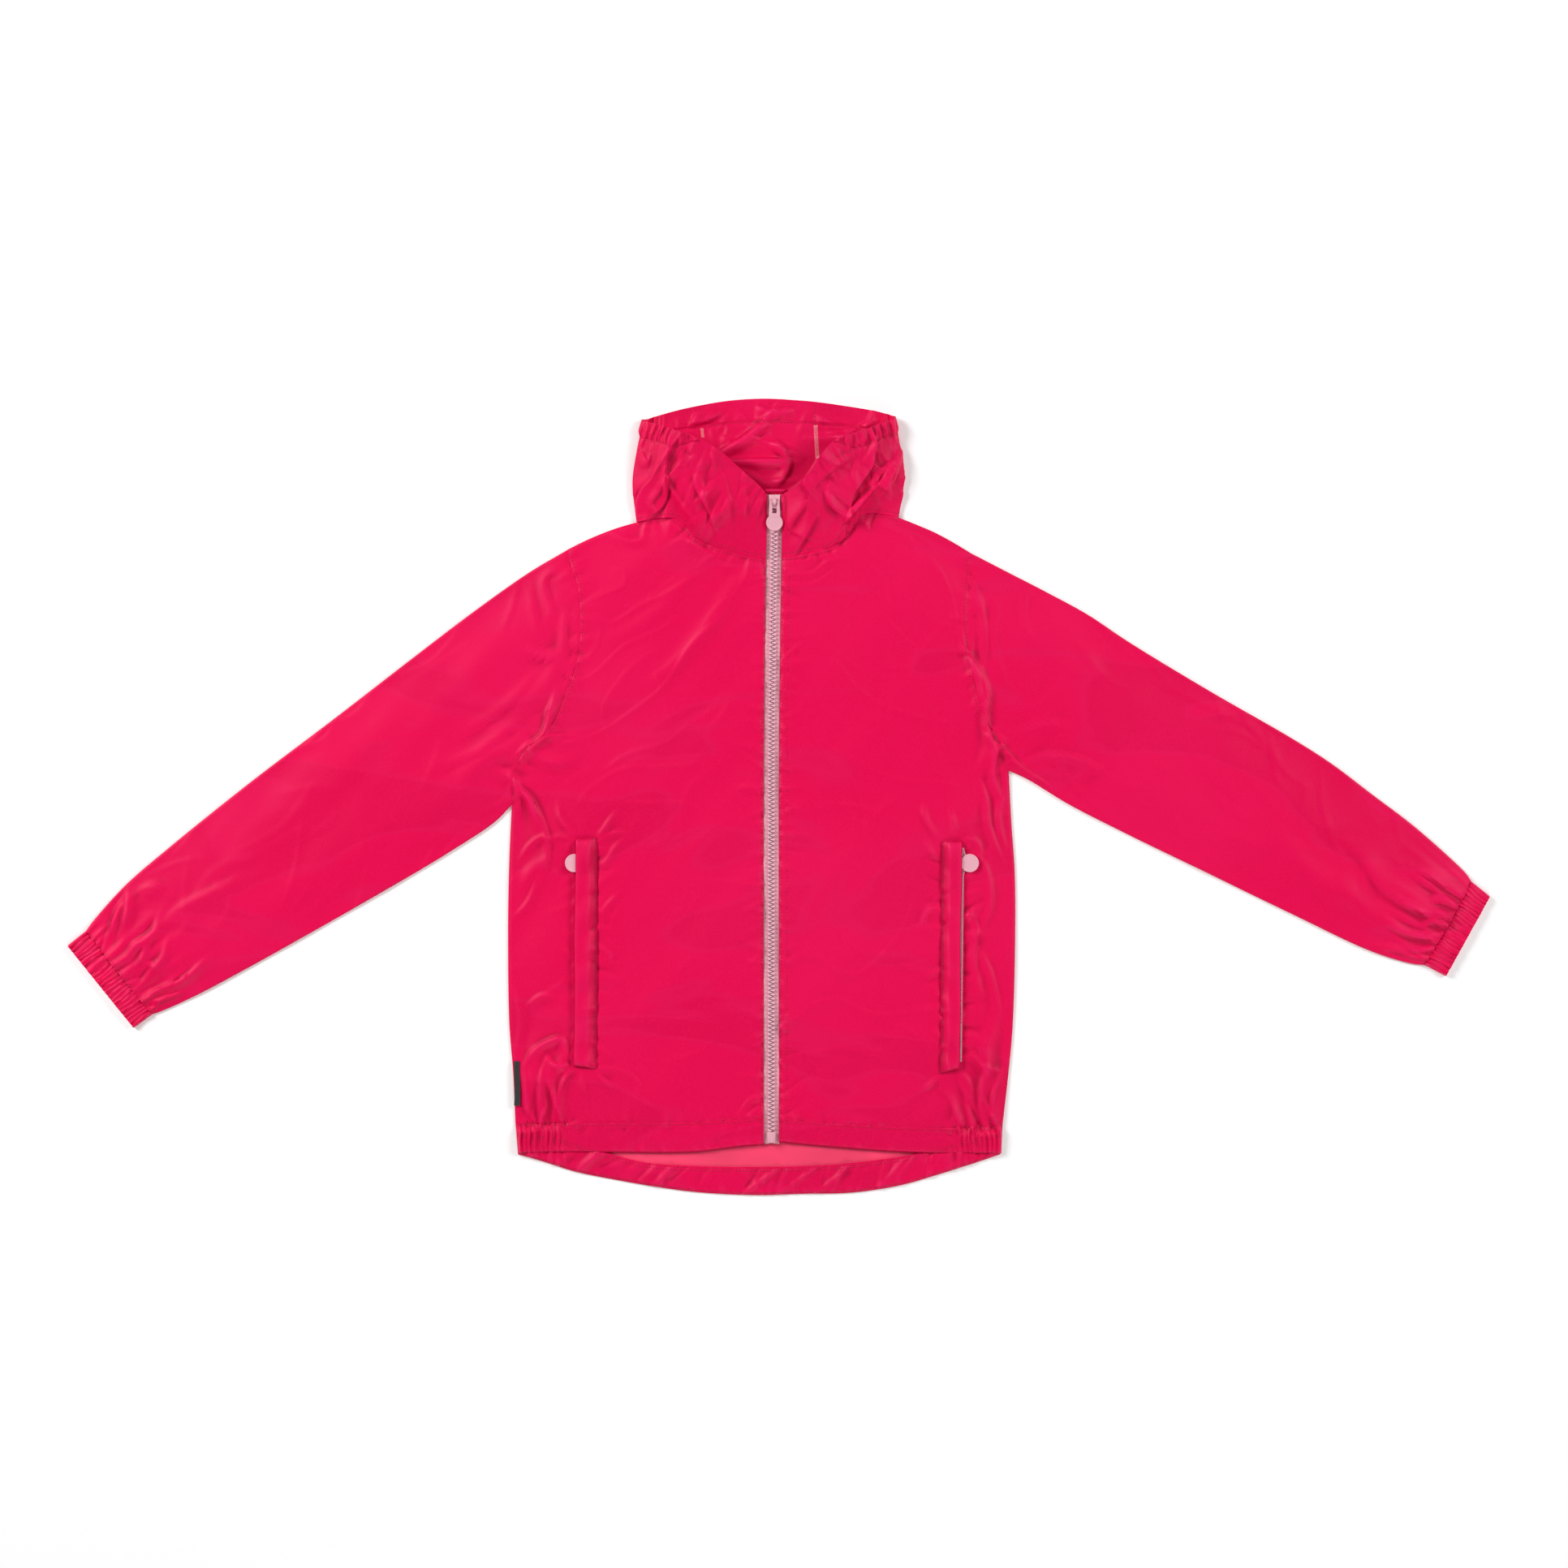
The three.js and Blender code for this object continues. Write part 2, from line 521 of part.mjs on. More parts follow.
function sleeve(name, armhole, over, under, outward) {
  const armholeLine = line([...armhole].reverse());
  const gapped = (stations) => shifted(armholeDown(armhole, stations), (outward * SEAM) / 2);
  const [aboveLine, belowLine] = [gapped(aboveStations), gapped(belowStations)];
  const [overCurve, underCurve] = [line(over), line(under)];
  const straight = (s, t) => overCurve.getPointAt(t).lerp(underCurve.getPointAt(t), s);
  const plan = (s, t, above) => {
    if (t === 0 && above) return pointAlong(aboveLine, aboveStations, s);
    if (t === 0) return pointAlong(belowLine, belowStations, s);
    const cap = armholeLine.getPointAt(s).sub(straight(s, 0));
    return straight(s, t).addScaledVector(cap, 1 - smooth(t / CAP_REACH));
  };
  const lift = (s, t, inside) => {
    const near = Math.max(0, 1 - (1 - t) / SLEEVE_GATHER.reach);
    const wave = (1 - Math.cos(2 * Math.PI * SLEEVE_GATHERS * s)) / 2;
    const raised = near * SLEEVE_GATHER.height * Math.sin(Math.PI * s) * wave;
    return inside ? raised * SLEEVE_GATHER.insideShare : raised;
  };
  add(name, tube({ sections: SLEEVE_SECTIONS, ring: SLEEVE_RING, plan, lift }), cloth);
}
sleeve("sleeve_right", ARMHOLE_RIGHT, OVERARM_RIGHT, UNDERARM_RIGHT, -1);
sleeve("sleeve_left", ARMHOLE_LEFT, OVERARM_LEFT, UNDERARM_LEFT, 1);

// A cuff: an elastic casing with its gathers raised above.
const CUFF_RING = ringOf(CUFF_GATHERS * 3 + 2, 8);

function cuff(name, over, under, end) {
  const [overSeam, underSeam] = [point(over[over.length - 1]), point(under[under.length - 1])];
  const [overEnd, underEnd] = [point(end.over), point(end.under)];
  const start = SEAM / overSeam.distanceTo(overEnd);
  const plan = (s, t) => {
    const down = THREE.MathUtils.lerp(start, 1, t);
    return overSeam.clone().lerp(overEnd, down).lerp(underSeam.clone().lerp(underEnd, down), s);
  };
  const lift = (s, t, inside) => (inside ? 0 : gatherWave(CUFF_GATHERS * s));
  add(name, tube({ sections: 1, ring: CUFF_RING, plan, lift }), cloth);
}
cuff("cuff_right", OVERARM_RIGHT, UNDERARM_RIGHT, CUFF_RIGHT);
cuff("cuff_left", OVERARM_LEFT, UNDERARM_LEFT, CUFF_LEFT);

// The hood's surface: V runs from the neck to the rim, and station counts along the table.
const setBack = (points) => shifted(points.map(point), SEAM);
const feet = [
  ...setBack(NECK_RIGHT).reverse(),
  ...setBack(NECK_BACK).slice(1, -1),
  ...setBack(NECK_LEFT).reverse(),
];
feet.forEach((foot, k) => foot.setZ(HOOD[k].neck[2]));
const hoodLines = HOOD.map((row, k) => through([feet[k], point(row.waist), point(row.rim)]));

function hoodPoint(station, v) {
  if (v === 0) {
    const k = Math.min(Math.floor(station), HOOD.length - 2);
    return feet[k].clone().lerp(feet[k + 1], station - k);
  }
  const row = through(hoodLines.map((curve) => curve.getPointAt(v)));
  return row.getPoint(station / (HOOD.length - 1));
}

// A sheet of the hood between two stations, its wall built out both ways from its mid-surface.
function hoodSheet({ from, to, steps, low, high, rows, raised = zero }) {
  const all = Array.from({ length: (HOOD.length - 1) * steps + 1 }, (_, k) => k / steps);
  const places = [from, ...all.filter((s) => s > from + 0.05 && s < to - 0.05), to];
  const columns = places.length - 1;
  const middle = Array.from({ length: rows + 1 }, (_, i) =>
    places.map((s) => hoodPoint(s, THREE.MathUtils.lerp(low(s), high(s), i / rows))),
  );
  const normal = (i, j) => {
    const across = middle[i][Math.min(j + 1, columns)].clone().sub(middle[i][Math.max(j - 1, 0)]);
    const up = middle[Math.min(i + 1, rows)][j].clone().sub(middle[Math.max(i - 1, 0)][j]);
    return across.cross(up).normalize();
  };
  const side = (distance) =>
    middle.map((row, i) =>
      row.map((p, j) => {
        const gather = distance > 0 ? raised(places[j]) : 0;
        const moved = p.clone().addScaledVector(normal(i, j), distance + gather);
        return moved.setZ(Math.max(moved.z, 0));
      }),
    );
  return wall(side(WALL / 2), side(-WALL / 2));
}

const HOOD_DEPTH = 95;
const STATION_SPACING = 25;
const seamShare = SEAM / 2 / HOOD_DEPTH;
const seamStation = SEAM / 2 / STATION_SPACING;
const casingStart = (station) => {
  const fromThroat = Math.min(station - stationOf("peak_right"), stationOf("peak_left") - station);
  return fromThroat < -1e-6 ? 1 : THREE.MathUtils.lerp(CASING_TIP, CASING_START, Math.min(fromThroat, 1));
};
const belowCasing = (station) => {
  const start = casingStart(station);
  return start >= 1 ? 1 : start - seamShare;
};
[
  ["hood_side_right", 0, stationOf("panel_seam_right") - seamStation],
  ["hood_centre", stationOf("panel_seam_right") + seamStation, stationOf("panel_seam_left") - seamStation],
  ["hood_side_left", stationOf("panel_seam_left") + seamStation, HOOD.length - 1],
].forEach(([name, from, to]) => {
  add(name, hoodSheet({ from, to, steps: HOOD_STEPS, low: zero, high: belowCasing, rows: HOOD_ROWS }), cloth);
});

const casing = { low: (station) => casingStart(station) + seamShare, high: () => 1, rows: CASING_ROWS };
const gatherEvery = (stationOf("behind_right_2") - stationOf("peak_right")) / TEMPLE_GATHERS;
const gathered = (station) => gatherWave(station / gatherEvery);
const [crownFrom, crownTo] = [stationOf("behind_right_2"), stationOf("behind_left_2")];
[
  ["hood_edge_right", stationOf("peak_right"), crownFrom - seamStation, gathered],
  ["hood_edge_crown", crownFrom + seamStation, crownTo - seamStation, zero],
  ["hood_edge_left", crownTo + seamStation, stationOf("peak_left"), gathered],
].forEach(([name, from, to, raised]) => {
  const steps = raised === zero ? HOOD_STEPS : 2 * HOOD_STEPS;
  add(name, hoodSheet({ from, to, steps, raised, ...casing }), cloth);
});

// A strip along the zip line, between two offsets across it and two heights, climbing with the zip.
const ZIP_BREAKS = [-200, -100, -12, 54, 120, 170, 188, 192, 196, 200, 204, 208, 226, 246];

function zipStrip({ from, to, left, right, low, high, lip = zero }) {
  const ys = [from, ...ZIP_BREAKS.filter((y) => y > from + 0.5 && y < to - 0.5), to];
  const layer = (z) =>
    ys.map((y) => [left, right].map((across) => point([zipX(y) + across, y, z + climb(y) + lip(y)])));
  return wall(layer(high), layer(low));
}

const { tapeLow, tapeHigh, chainLow, chainHigh } = ZIP_LEVELS;
const tape = { ...ZIP_ENDS, low: tapeLow, high: tapeHigh };
add("zip_tape_right", zipStrip({ ...tape, left: -TAPE_WIDTH, right: -SEAM / 2 }), tapeFinish);
add("zip_tape_left", zipStrip({ ...tape, left: SEAM / 2, right: TAPE_WIDTH }), tapeFinish);
const chain = { ...CHAIN_ENDS, low: chainLow, high: chainHigh };
add("zip_chain", zipStrip({ ...chain, left: -CHAIN_WIDTH / 2, right: CHAIN_WIDTH / 2 }), plasticFinish);
add(
  "chin_guard",
  zipStrip({
    from: CHIN_GUARD.from, to: CHIN_GUARD.to, left: -CHIN_GUARD.halfWidth, right: CHIN_GUARD.halfWidth,
    low: CHIN_GUARD.low, high: CHIN_GUARD.low + CHIN_GUARD.thickness,
    lip: (y) => CHIN_GUARD.lip * smooth((y - CHIN_GUARD.lipFrom) / (CHIN_GUARD.to - CHIN_GUARD.lipFrom)),
  }),
  cloth,
);

function box(width, length, low, high) {
  return new THREE.BoxGeometry(width, length, high - low).translate(0, 0, (low + high) / 2);
}

const stopShape = box(STOP_BOX.width, STOP_BOX.length, chainLow, chainLow + STOP_BOX.height);
const stop = add("zip_stop", stopShape, plasticFinish);
stop.position.set(zipX(CHAIN_ENDS.from), CHAIN_ENDS.from - SEAM - STOP_BOX.length / 2, 0);

// The slider and its pull stand in the zip's own slope, with the pull's bar at their origin.
const PLATE = { low: chainHigh + SEAM, high: chainHigh + SEAM + SLIDER.wall };
const BAR_HEIGHT = PLATE.high + SEAM + FRONT_PULL.clearance;
const head = new THREE.Group();
head.position.set(zipX(SLIDER_Y), SLIDER_Y, climb(SLIDER_Y));
head.rotation.x = Math.atan(CLIMB_SLOPE);
jacket.add(head);

// The loop over the slider's plate that traps the pull's bar, drawn across the zip and turned along it.
function bridge() {
  const { bridgeReach: reach, wall: thick, bridgeTop: top, bridgeWidth, bridgeRound: round, sunk } = SLIDER;
  const foot = PLATE.high - sunk;
  const outline = new THREE.Shape();
  outline.moveTo(-reach, foot);
  outline.lineTo(-reach, top - round);
  outline.quadraticCurveTo(-reach, top, round - reach, top);
  outline.lineTo(reach - round, top);
  outline.quadraticCurveTo(reach, top, reach, top - round);
  outline.lineTo(reach, foot);
  outline.lineTo(reach - thick, foot);
  outline.lineTo(reach - thick, top - thick);
  outline.lineTo(thick - reach, top - thick);
  outline.lineTo(thick - reach, foot);
  outline.closePath();
  const options = { depth: bridgeWidth, bevelEnabled: false, curveSegments: 4 };
  const geometry = new THREE.ExtrudeGeometry(outline, options).translate(0, 0, -bridgeWidth / 2);
  return geometry.rotateX(Math.PI / 2).rotateZ(Math.PI / 2);
}

function flange(side) {
  const wallBox = box(SLIDER.wall, SLIDER.length, chainLow, PLATE.high);
  return wallBox.translate((side * (SLIDER.width - SLIDER.wall)) / 2, 0, 0);
}

add(
  "zip_slider",
  joined(box(SLIDER.width, SLIDER.length, PLATE.low, PLATE.high), flange(-1), flange(1), bridge()),
  plasticFinish,
  head,
);

function pullPlate({ radius, drop, frameWidth, window, windowInDisc, bar, thickness }) {
  const half = frameWidth / 2;
  const join = Math.sqrt(radius ** 2 - half ** 2);
  const outline = new THREE.Shape();
  outline.moveTo(-half, bar / 2);
  outline.lineTo(-half, join - drop);
  outline.absarc(0, -drop, radius, Math.atan2(join, -half), Math.atan2(join, half) + 2 * Math.PI, false);
  outline.lineTo(half, bar / 2);
  outline.closePath();
  const hole = new THREE.Path();
  const end = radius + windowInDisc - drop;
  hole.moveTo(-window / 2, -bar / 2);
  hole.lineTo(window / 2, -bar / 2);
  hole.lineTo(window / 2, end);
  hole.lineTo(-window / 2, end);
  hole.closePath();
  outline.holes.push(hole);
  const options = { depth: thickness, bevelEnabled: false, curveSegments: 24 };
  return new THREE.ExtrudeGeometry(outline, options).translate(0, 0, -thickness / 2);
}
const pull = add("zip_pull", pullPlate(FRONT_PULL), plasticFinish, head);
pull.position.z = BAR_HEIGHT;
pull.rotation.x = FRONT_PULL.tilt;

// A pocket: a welt raised over its zip, the tape that shows past the welt's free edge, and the pull.
function pocket(side) {
  const { inner, free, out, pull: centre, shown } = POCKETS[side];
  const [innerLine, freeLine] = [line(inner), line(free)];
  const weltWidth = innerLine.getPointAt(0).distanceTo(freeLine.getPointAt(0));
  const grid = (from, to, acrossFrom, acrossTo) =>
    Array.from({ length: POCKET_ROWS + 1 }, (_, i) => {
      const v = THREE.MathUtils.lerp(from, to, i / POCKET_ROWS);
      const [a, b] = [innerLine.getPointAt(v), freeLine.getPointAt(v)];
      const shareOf = (j) => THREE.MathUtils.lerp(acrossFrom, acrossTo, j / POCKET_COLUMNS);
      return Array.from({ length: POCKET_COLUMNS + 1 }, (_, j) => a.clone().lerp(b, shareOf(j)));
    });
  const tapeHighest = SEAM + POCKET_TAPE.thickness;
  const weltRise = (j) => SEAM + WELT.thickness + WELT.lift * smooth((2 * j) / POCKET_COLUMNS);
  const weltTop = (p, j) => clothTop(p.x, p.y) + weltRise(j);
  add(`pocket_welt_${side}`, panel(grid(0, 1, 0, 1), weltTop, WELT.thickness), cloth);
  const tapeEdge = 1 + shown / weltWidth;
  const tapeGrid = grid(POCKET_TAPE.from, POCKET_TAPE.to, tapeEdge - POCKET_TAPE.width / weltWidth, tapeEdge);
  const tapeTop = (p) => clothTop(p.x, p.y) + tapeHighest;
  add(`pocket_zip_${side}`, panel(tapeGrid, tapeTop, POCKET_TAPE.thickness), tapeFinish);
  const { radius, thickness, stem, stemWidth, stemUp, lift, tilt } = POCKET_PULL;
  const disc = new THREE.CylinderGeometry(radius, radius, thickness, 40).rotateX(Math.PI / 2);
  const strap = new THREE.BoxGeometry(stem, stemWidth, thickness).translate((-out * stem) / 2, stemUp, 0);
  const tab = add(`pocket_pull_${side}`, joined(disc, strap), plasticFinish);
  tab.position.set(centre[0], centre[1], clothTop(...centre) + tapeHighest + SEAM + lift);
  tab.rotation.y = out * tilt;
}
pocket("right");
pocket("left");

// The care label that sticks out of the right side seam.
const [labelX, labelY] = LABEL.corner;
const labelGrid = Array.from({ length: LABEL.rows + 1 }, (_, i) => {
  const y = labelY - LABEL.length * (1 - i / LABEL.rows);
  return [point([labelX, y]), point([labelX + LABEL.width, y])];
});
const labelTop = (p) => clothTop(p.x, p.y) + 3 * SEAM + LABEL.thickness;
add("side_label", panel(labelGrid, labelTop, LABEL.thickness), labelFinish);

export default jacket;
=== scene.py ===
"""Dresses the packed frame of a kids rain jacket: cloth, stitching, zips and stage."""

import json

import bmesh
import bpy
import numpy as np
from mathutils import Matrix, Vector
from mathutils.bvhtree import BVHTree

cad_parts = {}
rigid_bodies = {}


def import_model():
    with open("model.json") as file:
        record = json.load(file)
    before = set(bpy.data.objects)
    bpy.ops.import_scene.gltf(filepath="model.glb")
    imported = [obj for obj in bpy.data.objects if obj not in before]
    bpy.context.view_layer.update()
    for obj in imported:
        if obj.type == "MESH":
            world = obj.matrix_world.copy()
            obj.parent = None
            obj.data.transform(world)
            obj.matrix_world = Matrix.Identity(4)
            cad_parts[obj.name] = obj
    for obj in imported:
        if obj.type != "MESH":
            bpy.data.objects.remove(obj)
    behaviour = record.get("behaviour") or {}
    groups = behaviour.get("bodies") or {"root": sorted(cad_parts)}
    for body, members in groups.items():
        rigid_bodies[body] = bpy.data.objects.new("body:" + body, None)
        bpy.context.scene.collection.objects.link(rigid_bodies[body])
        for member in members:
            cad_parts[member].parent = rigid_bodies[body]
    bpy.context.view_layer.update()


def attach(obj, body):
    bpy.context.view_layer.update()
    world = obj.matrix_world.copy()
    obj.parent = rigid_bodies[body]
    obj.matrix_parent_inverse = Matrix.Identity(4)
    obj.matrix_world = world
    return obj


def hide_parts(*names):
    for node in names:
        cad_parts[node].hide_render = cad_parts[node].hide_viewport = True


bl_info = {
    "name": "Kids Rain Jacket",
    "version": (1, 0, 0),
    "blender": (4, 5, 0),
    "location": "View3D > Sidebar > Rain Jacket",
    "description": "Dresses a packed rain jacket with cloth, stitching and zips",
    "category": "Add Mesh",
}

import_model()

# Lengths below are millimetres until a mesh is written.
MM = 0.001

# How the cloth lies, as in the frame.
EDGE_TOP = 2.7
LOFT = 2.6
LOFT_REACH = 45
FOLD_EDGE = 1.35
ROLL = 2.0
CLIMB_START = 188
CLIMB_EASE = 20
CLIMB_SLOPE = 0.14
NARROWEST_SHEET = 10
SURROUNDINGS = 4
SLIDER_Y = 240
SOLE = 0.0016  # metres: below this a tube's cloth faces down
CAP_REACH = 0.25
TOP_SHARE = 0.58
TUBE_EDGE = 0.88
TEETH_GROOVE = 1.1
TAPE_WIDTH = 6.1

# The pitch of the stitches along plain seams, in short rows and at the cuffs.
STITCH = 2.8
SHORT_STITCH = 2.4
CUFF_STITCH = 2.2
STITCH_WIDTH = 0.38
STITCH_HEIGHT = 0.28
STITCH_SINK = 0.3
STITCH_STEP = 1.5

# The front hems' elastic: its share of the hem, and of the columns that its gathers are given.
ELASTIC = 0.2
GATHERED = 0.24
GATHERED_COLUMNS = 0.55

# The picture that the camera frames, in pixels, and the size of one on the jacket.
PICTURE = 1932
PIXEL = 0.66
SENSOR = 36
PICTURE_CENTRE = (4.3, 10.2)
FLOOR_DROP = 0.3

SHOULDER_RIGHT = [(-171, 201), (-157, 208), (-143, 214), (-129, 219), (-115, 223)]
SHOULDER_LEFT = [(97, 227), (112, 221), (126, 215), (141, 207), (156, 198)]
ARMHOLE_RIGHT = [
    (-217, -7), (-216.5, 12), (-212, 29), (-201, 43), (-186, 55), (-173, 83), (-163, 113),
    (-161, 142), (-163, 170), (-169, 189), (-171, 201),
]
ARMHOLE_LEFT = [
    (187, 21), (186, 32), (181, 42), (172, 57), (163, 74), (157, 100), (154, 119),
    (153, 141), (153, 165), (155, 181), (156, 198),
]
SIDE_RIGHT = [
    (-214, -266), (-216, -223), (-219, -184), (-220, -105), (-219, -52), (-217, -7),
]
SIDE_LEFT = [
    (182, -267), (187, -223), (190, -190), (192, -131), (192, -65), (189, -19), (187, 21),
]
HEM_SEAM_RIGHT = [(-214, -266), (-173, -265), (-62, -264), (-12.3, -261)]
HEM_SEAM_LEFT = [(0.3, -262), (59, -266), (99, -268), (158, -269), (182, -267)]
HEM_EDGE_RIGHT = [(-212, -290), (-171, -289), (-69, -289), (-36, -285), (-12.3, -283)]
HEM_EDGE_LEFT = [(0.3, -281), (45, -285), (99, -289), (153, -290), (181, -290)]
TAIL = [
    (-212, -291), (-194, -296), (-165, -305), (-130, -312), (-95, -318), (-62, -322),
    (-17, -324), (18, -323), (59, -322), (99, -316), (134, -306), (153, -300), (180, -291),
]
TAIL_SEAM = [
    (-212, -272), (-178, -277), (-141, -289), (-111, -297), (-73, -300), (-9, -301),
    (45, -299), (83, -295), (113, -290), (146, -280), (180, -272),
]
OVERARM_RIGHT = [
    (-171, 201), (-203, 182), (-247, 151), (-297, 113), (-363, 62), (-429, 12),
    (-495, -41), (-531, -72), (-558, -102), (-563, -109),
]
UNDERARM_RIGHT = [
    (-217, -7), (-231, -21), (-264, -43), (-297, -63), (-363, -101), (-429, -138),
    (-472, -161), (-503, -175), (-509, -177),
]
OVERARM_LEFT = [
    (156, 198), (185, 183), (218, 166), (251, 148), (284, 126), (350, 86), (416, 48),
    (449, 27), (482, 2), (515, -23), (548, -52), (559, -63), (563, -69),
]
UNDERARM_LEFT = [
    (187, 21), (202, 14), (235, -6), (284, -31), (350, -63), (416, -95), (482, -126),
    (515, -136), (525, -137),
]
CUFF_RIGHT = [(-578, -121), (-524, -188)]
CUFF_LEFT = [(578, -81), (542, -146)]
ZIP_LINE = [
    (-6, -283), (-6, -144), (-6, -12), (-5.8, 54), (-5, 120), (-4, 192), (-3.5, 219),
    (-3.4, 252),
]

# The frame's largest folds: start, end, bow, width and height.
FOLDS = [
    ((-27, 188), (-112, 82), 8, 7, 1.6),
    ((-60, 196), (-150, 120), 10, 8, 1.4),
    ((-205, 38), (-160, 30), -6, 6, 2.0),
    ((-215, 12), (-196, -38), 5, 5, 2.2),
    ((-213, -80), (-186, -48), 3, 6, 1.8),
    ((-196, -262), (-160, -205), 9, 7, 1.8),
    ((-205, -262), (-200, -190), -4, 6, 1.6),
    ((170, 60), (160, 15), 5, 6, 2.0),
    ((186, 25), (228, -8), 5, 6, 2.0),
    ((176, -262), (158, -190), -6, 7, 2.0),
    ((166, -250), (186, -160), 6, 7, 1.8),
    ((150, 150), (96, 200), -12, 9, 1.4),
    ((-172, 120), (-220, 70), 8, 9, 1.6),
    ((-200, 45), (-262, 10), -6, 8, 1.8),
    ((474, -88), (400, -20), 10, 10, 1.6),
    ((512, -110), (452, -62), 8, 8, 1.6),
]

# The hood's lines from the right edge of the zip round the back to the left edge: foot, middle and rim.
HOOD = [
    ((-10.3, 193, 4.7), (-9.8, 219, 7.6), (-9.8, 244, 11.1)),
    ((-23, 195, 4.7), (-21, 222, 10), (-17, 253, 17)),
    ((-38, 199, 4.7), (-37, 232, 13), (-32, 266, 23)),
    ((-52, 203, 4.7), (-54, 241, 16), (-48, 280, 27)),
    ((-65, 209, 4.7), (-74, 250, 18), (-64, 289, 29)),
    ((-75, 219, 4.5), (-87, 257, 13), (-78, 295, 27)),
    ((-85, 226, 4.3), (-99, 260, 10), (-89, 299, 20)),
    ((-99, 226, 4.1), (-110, 260, 8), (-99, 302, 13)),
    ((-115, 223, 2.3), (-118, 259, 4), (-108, 305, 6.5)),
    ((-107, 224.6, 0.6), (-109, 262, 0.6), (-99, 309, 2.2)),
    ((-85, 227, 0.6), (-86, 264, 0.6), (-82, 314, 0.9)),
    ((-60, 224.5, 0.6), (-60, 268, 0.6), (-64, 318, 0.6)),
    ((-36, 222.5, 0.6), (-36, 271, 0.6), (-39, 322, 0.6)),
    ((-10, 221, 0.6), (-10, 273, 0.6), (-11, 323.5, 0.6)),
    ((17, 222.5, 0.6), (15, 272, 0.6), (10, 322.5, 0.6)),
    ((38, 225.5, 0.6), (32, 270, 0.6), (29, 321, 0.6)),
    ((64, 231, 0.6), (66, 266, 0.6), (64, 316, 0.9)),
    ((89, 228.4, 0.6), (92, 263, 0.6), (84, 312, 2.2)),
    ((97, 227, 2.3), (101, 260, 4), (93, 308, 6.5)),
    ((83, 229.4, 4.1), (92, 258, 8), (85, 304, 13)),
    ((70, 230, 4.3), (81, 257, 10), (73, 299, 20)),
    ((61, 224, 4.5), (66, 253, 13), (58, 293, 26)),
    ((55, 214, 4.7), (51, 248, 17), (45, 288, 28)),
    ((45, 204, 4.7), (38, 240, 16), (35, 278, 27)),
    ((30, 199, 4.7), (24, 228, 13), (27, 265, 23)),
    ((16, 196, 4.7), (12, 221, 10), (15, 252, 17)),
    ((2.3, 194, 4.7), (2.8, 219, 7.6), (2.8, 245, 11.1)),
]
PEAK_RIGHT, SIDE_STATION_RIGHT, CROWN_FROM, SEAM_RIGHT = 4, 8, 10, 11
SEAM_LEFT, CROWN_TO, SIDE_STATION_LEFT, PEAK_LEFT = 15, 16, 18, 22
LAST_STATION = len(HOOD) - 1
CASING_START = 0.83
CASING_TIP = 0.985

